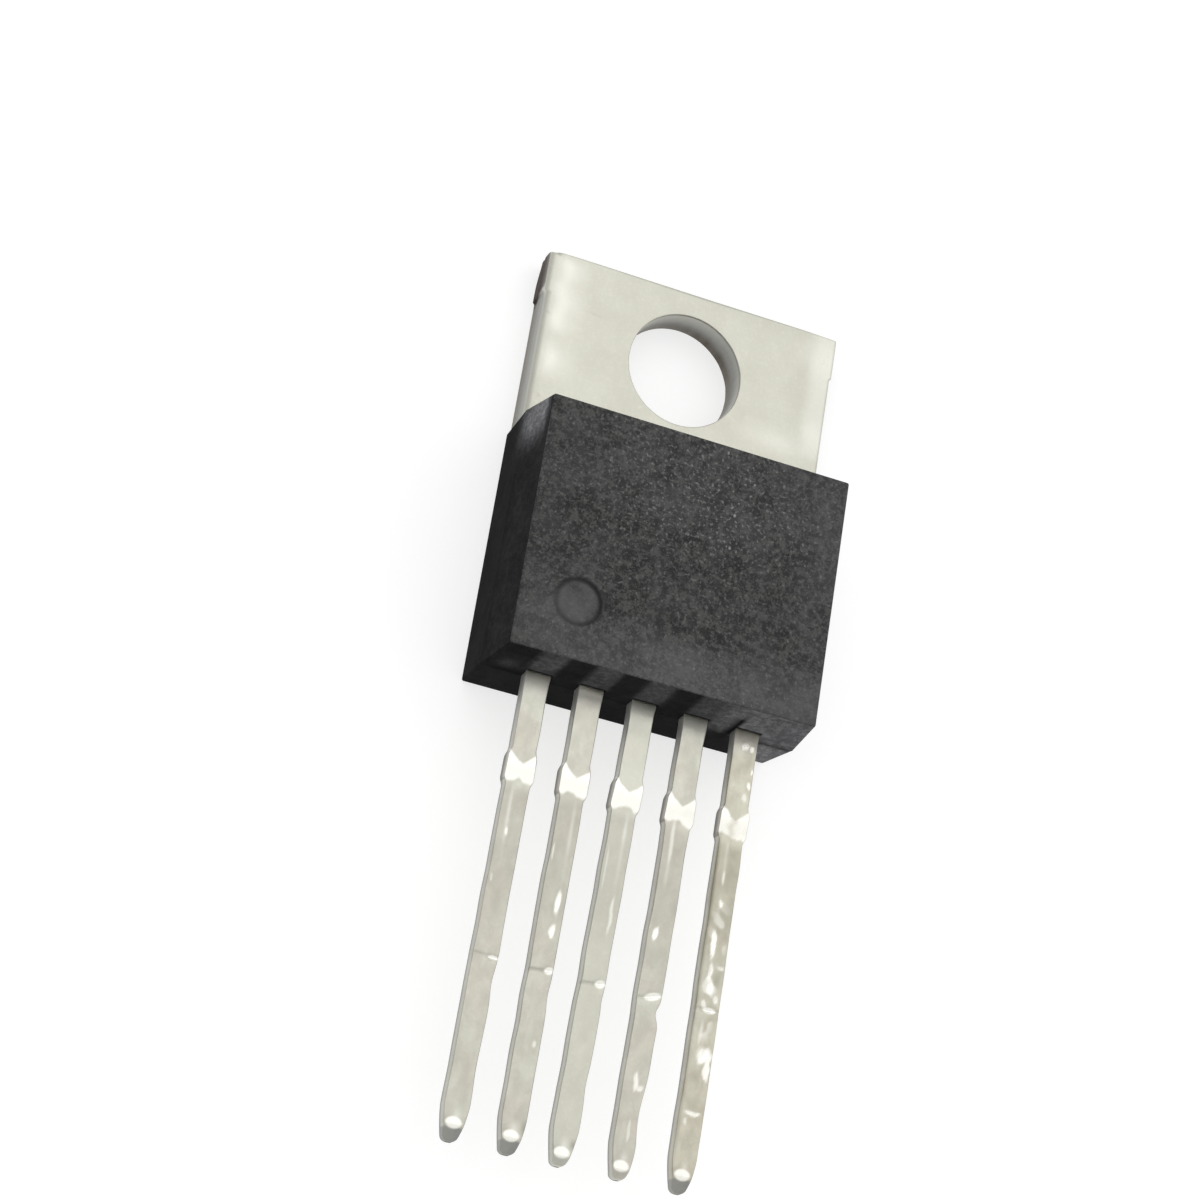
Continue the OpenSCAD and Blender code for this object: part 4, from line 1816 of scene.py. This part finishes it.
@dataclass
class Studio:
    """The camera, the pale floor and the soft light.

    Attributes:
        lean: the camera's line of sight across and along the part; the rest of it looks down.
        away: distance from the camera to the sight point, in millimetres.
        roll: turn of the picture, in degrees.
        focal: focal length in pixels of a picture 1200 pixels wide.
        sight: the point on the part that is placed in the picture, in millimetres.
        pixel: where in the picture it is placed.
        sensor: width of the camera's sensor, in millimetres.
        floor_drop: how far the floor lies under the part, in millimetres.
        floor_reach: half the floor's width, in millimetres.
        floor_glow: how brightly the camera and the metal see the floor, where 1 is white.
    """

    lean: tuple[float, float] = (0.28, 0.36)
    away: float = 90.0
    roll: float = 9.57
    focal: float = 2975.0
    sight: tuple[float, float, float] = (0.0, -10.0, 2.0)
    pixel: tuple[float, float] = (646.0, 657.0)
    sensor: float = 36.0
    floor_drop: float = 0.03
    floor_reach: float = 1500.0
    floor_glow: float = 0.66

    def camera(self) -> None:
        """Places the camera.

        Its line of sight is the lean with the length filled up downwards, its upward direction is the
        part's length turned by the roll, and it moves sideways until the sight point falls on its pixel.
        """
        across, along = self.lean
        sight = Vector((across, along, -math.sqrt(1.0 - across ** 2 - along ** 2)))
        up = (Vector((0.0, 1.0, 0.0)) - sight * sight.y).normalized()
        right = sight.cross(up)
        turn = math.radians(self.roll)
        right_turned = right * math.cos(turn) + up * math.sin(turn)
        up_turned = up * math.cos(turn) - right * math.sin(turn)
        shift_right = (self.pixel[0] - PICTURE / 2.0) / self.focal * self.away
        shift_up = (PICTURE / 2.0 - self.pixel[1]) / self.focal * self.away
        place = Vector(self.sight) - sight * self.away - right_turned * shift_right - up_turned * shift_up
        data = bpy.data.cameras.new("camera")
        data.sensor_width = self.sensor
        data.lens = self.focal / PICTURE * self.sensor
        data.clip_start = 0.002
        data.clip_end = 20.0
        camera = bpy.data.objects.new("camera", data)
        turned = Matrix((right_turned, up_turned, -sight)).transposed().to_4x4()
        camera.matrix_world = Matrix.Translation(place * MM) @ turned
        bpy.context.scene.collection.objects.link(camera)
        bpy.context.scene.camera = camera

    def floor(self) -> None:
        """Lays the pale floor just under the part, as a flat grid that fades to white for the camera."""
        steps = np.linspace(-self.floor_reach, self.floor_reach, 5)
        x, y = np.meshgrid(steps, steps, indexing="ij")
        points = np.stack([x.ravel(), y.ravel(), np.full(x.size, -self.floor_drop)], -1) * MM
        number = np.arange(x.size).reshape(x.shape)
        mesh = bpy.data.meshes.new("floor")
        mesh.from_pydata(points.tolist(), [], grid_quads(number, False).tolist())
        material, sheet, shader = new_material("pale_floor")
        noise = sheet.add("ShaderNodeTexNoise", None, {"Vector": sheet.millimetres(), "Scale": 0.02})
        tone = sheet.blend(noise.outputs[0], rgba((0.44, 0.44, 0.44)), rgba((0.45, 0.45, 0.45)))
        sheet.feed(shader.inputs["Base Color"], tone)
        shader.inputs["Roughness"].default_value = 1.0
        shader.inputs["Specular IOR Level"].default_value = 0.0
        path = sheet.add("ShaderNodeLightPath")
        seen = sheet.work_out("MAXIMUM", path.outputs["Is Camera Ray"], path.outputs["Is Glossy Ray"])
        seen = sheet.work_out("MAXIMUM", seen, path.outputs["Is Transmission Ray"])
        shader.inputs["Emission Color"].default_value = (1.0, 1.0, 1.0, 1.0)
        sheet.feed(shader.inputs["Emission Strength"], sheet.times(seen, self.floor_glow))
        mesh.materials.append(material)
        plane = bpy.data.objects.new("floor", mesh)
        bpy.context.scene.collection.objects.link(plane)

    @staticmethod
    def sky() -> None:
        """Lights the room: pale overhead and dimmer towards the horizon, by the direction's height."""
        world = bpy.data.worlds.new("studio")
        world.use_nodes = True
        bpy.context.scene.world = world
        sheet = NodeSheet(world.node_tree)
        direction = sheet.add("ShaderNodeTexCoord").outputs["Generated"]
        split = sheet.add("ShaderNodeSeparateXYZ", None, {"Vector": direction})
        lift = sheet.ramp(split.outputs["Z"], 0.0, 0.95)
        tone = sheet.blend(lift, rgba((0.62, 0.63, 0.64)), rgba((0.86, 0.86, 0.85)))
        background = world.node_tree.nodes["Background"]
        sheet.feed(background.inputs["Color"], tone)
        background.inputs["Strength"].default_value = 1.0

    @staticmethod
    def lamp(
        name: str, towards: tuple[float, float, float], distance: float, size: float, power: float
    ) -> None:
        """Hangs one soft lamp that faces the part.

        Args:
            name: name of the lamp.
            towards: direction from the part to the lamp.
            distance: how far away it hangs, in metres.
            size: diameter of its round face, in metres.
            power: its power in watts.
        """
        data = bpy.data.lights.new(name, "AREA")
        data.shape = "DISK"
        data.size = size
        data.energy = power
        lamp = bpy.data.objects.new(name, data)
        away = Vector(towards).normalized()
        lamp.location = Vector((0.0, -0.01, 0.0)) + away * distance
        lamp.rotation_euler = away.to_track_quat("Z", "Y").to_euler()
        bpy.context.scene.collection.objects.link(lamp)

    def build(self) -> None:
        """Sets up the camera, the floor, the room and the lamps."""
        self.camera()
        self.floor()
        self.sky()
        self.lamp("overhead_softbox", (-0.12, 0.36, 0.92), 0.5, 0.56, 0.26)
        self.lamp("right_softbox", (0.75, 0.35, 0.62), 0.6, 0.5, 0.22)
        self.lamp("small_softbox", (0.28, 0.36, 0.89), 0.6, 0.12, 0.020)
        bpy.context.scene.view_settings.view_transform = "Standard"


# The whole part


def leads() -> dict[Position, Lead]:
    """Describes the five leads, with the press marks, painted highlights and dull spots that each one
    shows.

    Returns:
        Each lead by its position.
    """
    row = [
        Lead(
            Position.INPUT,
            -0.18,
            [Dent(4.9, -0.10, 0.13, 0.05, 0.006, 0.55), Dent(6.3, -0.28, 0.12, 0.04, 0.004, 0.35)],
            [Smudge(1.9, 0.05, 0.35, 0.16, 0.10), Smudge(7.2, 0.1, 0.5, 0.2, 0.06)],
            Crease(8.62, 0.24, 0.17, 0.075, 0.05, 0.08),
            Tip.BEVELLED,
            101,
            streak=-0.12,
            nicks=(Nick(9.35, 0.5, 0.06), Nick(11.6, 1.0, 0.03)),
        ),
        Lead(
            Position.OUTPUT,
            -0.16,
            [
                Dent(6.60, 0.14, 0.36, 0.085, 0.018, 1.0),
                Dent(7.45, 0.12, 0.20, 0.095, 0.018, 1.0),
                Dent(5.1, -0.28, 0.3, 0.035, 0.004, 0.4),
                Dent(10.8, 0.18, 0.10, 0.06, 0.006, 0.5),
            ],
            [Smudge(1.1, 0.1, 0.2, 0.15, 0.08), Smudge(13.2, 0.34, 0.22, 0.10, 0.75)],
            Crease(8.64, 0.24, 0.15, 0.12, -0.10, 0.55),
            Tip.BEVELLED,
            202,
            streak=0.15,
            nicks=(Nick(9.35, 0.4, 0.05),),
        ),
        Lead(
            Position.GROUND,
            -0.30,
            [Dent(6.6, 0.15, 0.60, 0.055, 0.005, 0.42), Dent(5.2, -0.28, 0.7, 0.03, 0.004, 0.25)],
            [Smudge(10.3, 0.05, 0.14, 0.10, 0.12), Smudge(13.35, 0.28, 0.12, 0.08, 0.7)],
            Crease(8.66, 0.22, 0.17, 0.13, -0.12, 0.35),
            Tip.ROUNDED,
            303,
            streak=0.13,
            nicks=(Nick(9.1, 0.3, 0.03), Nick(11.6, 0.45, 0.04)),
        ),
        Lead(
            Position.FEEDBACK,
            -0.18,
            [
                Dent(6.75, -0.13, 0.22, 0.09, 0.016, 1.0),
                Dent(3.9, -0.11, 0.80, 0.060, 0.003, 0.30),
                Dent(11.15, 0.02, 0.26, 0.08, 0.012, 0.75),
                Dent(11.35, 0.16, 0.10, 0.12, 0.010, 0.6),
                Dent(12.6, 0.05, 0.30, 0.06, 0.006, 0.4),
            ],
            [Smudge(1.6, 0.0, 0.2, 0.2, 0.08)],
            Crease(8.64, 0.10, 0.27, 0.13, -0.25, 0.15),
            Tip.ROUNDED,
            404,
            streak=-0.11,
            nicks=(Nick(9.08, 0.26, 0.12), Nick(12.1, 0.85, 0.12)),
        ),
        Lead(
            Position.ENABLE,
            0.0,
            [
                Dent(0.42, 0.02, 0.11, 0.12, 0.006, 1.0),
                Dent(0.46, 0.24, 0.09, 0.07, 0.006, 0.9),
                Dent(1.15, 0.32, 0.10, 0.04, 0.004, 0.8),
                Dent(1.62, 0.27, 0.14, 0.06, 0.008, 1.0),
                Dent(2.02, 0.20, 0.13, 0.10, 0.006, 0.45),
                Dent(4.6, -0.08, 0.20, 0.04, 0.005, 0.35),
                Dent(5.4, -0.06, 0.12, 0.06, 0.008, 0.6),
                Dent(6.65, -0.10, 0.45, 0.085, 0.014, 0.95),
                Dent(7.45, -0.08, 0.24, 0.075, 0.012, 0.7),
                Dent(7.30, 0.22, 0.07, 0.13, 0.008, 0.5),
                Dent(7.95, 0.00, 0.16, 0.10, 0.010, 0.6),
                Dent(8.25, 0.20, 0.12, 0.08, 0.008, 0.6),
                Dent(8.45, -0.14, 0.14, 0.08, 0.010, 0.7),
                Dent(9.3, -0.10, 0.35, 0.06, 0.008, 0.35),
                Dent(9.95, 0.14, 0.27, 0.24, 0.024, 1.0),
                Dent(10.42, 0.26, 0.26, 0.11, 0.012, 0.95),
                Dent(11.68, 0.02, 0.07, 0.26, 0.012, 0.85),
                Dent(11.95, -0.16, 0.10, 0.05, 0.008, 0.5),
            ],
            [
                Smudge(4.6, -0.37, 1.6, 0.055, 0.65),
                Smudge(1.5, -0.40, 1.2, 0.04, 0.60),
                Smudge(8.2, -0.37, 2.3, 0.055, 0.55),
                Smudge(12.2, -0.35, 1.2, 0.05, 0.35),
                Smudge(5.9, -0.26, 0.12, 0.08, 0.28),
                Smudge(10.6, -0.10, 0.22, 0.14, 0.22),
                Smudge(1.1, 0.0, 0.3, 0.3, 0.10),
                Smudge(7.7, 0.18, 0.16, 0.10, 0.22),
                Smudge(9.1, 0.16, 0.20, 0.12, 0.18),
                Smudge(4.2, 0.1, 0.5, 0.3, 0.08),
            ],
            Crease(8.62, 0.08, 0.21, 0.10, 0.0, 0.15),
            Tip.BEVELLED,
            505,
            wear=0.62,
            scuff=0.75,
            streak=-0.09,
        ),
    ]
    return {lead.position: lead for lead in row}


def main() -> None:
    """Builds the part and the studio in order."""
    logging.basicConfig(level=logging.INFO, format="%(name)s: %(message)s")
    effects = Effects()
    row = leads()
    tab_tin = TinFinish().build("tab_tin", effects, 0.25, 0.04)
    lead_plate = TinFinish(plate=(0.590, 0.590, 0.512), warm=(0.612, 0.582, 0.505))
    lead_tin = lead_plate.build("lead_tin", effects, 0.8, 0.28)
    rubbed_plate = TinFinish(
        plate=(0.602, 0.596, 0.502), warm=(0.618, 0.582, 0.480), smudge=(0.270, 0.250, 0.190)
    )
    rubbed_tin = rubbed_plate.build("rubbed_lead_tin", effects, 1.0, 0.32)
    HeatTab(row[Position.GROUND]).build(tab_tin)
    for position, lead in row.items():
        if position is not Position.GROUND:
            tin = rubbed_tin if position is Position.ENABLE else lead_tin
            lead.build(f"{position.name.lower()}_lead_surface", tin)
    # On the walls the hazy colour is the colour of the painted reflection and sheen, and the specular is
    # nearly off.
    walls = EpoxyFinish(
        dark=(0.0100, 0.0100, 0.0108),
        light=(0.0165, 0.0165, 0.0175),
        hazy=(0.420, 0.420, 0.438),
        speck_cover=0.0,
        fleck_cover=0.0,
        gloss=(0.85, 1.0),
        uneven=0.015,
        specular=0.06,
        relief=0.008,
    )
    MouldedBody().build(EpoxyFinish().build("front_epoxy", effects), walls.build("wall_epoxy", effects))
    InnerParts().dress(effects)
    Studio().build()
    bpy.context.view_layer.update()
    log.info("boxes written")


if __name__ == "__main__":
    main()
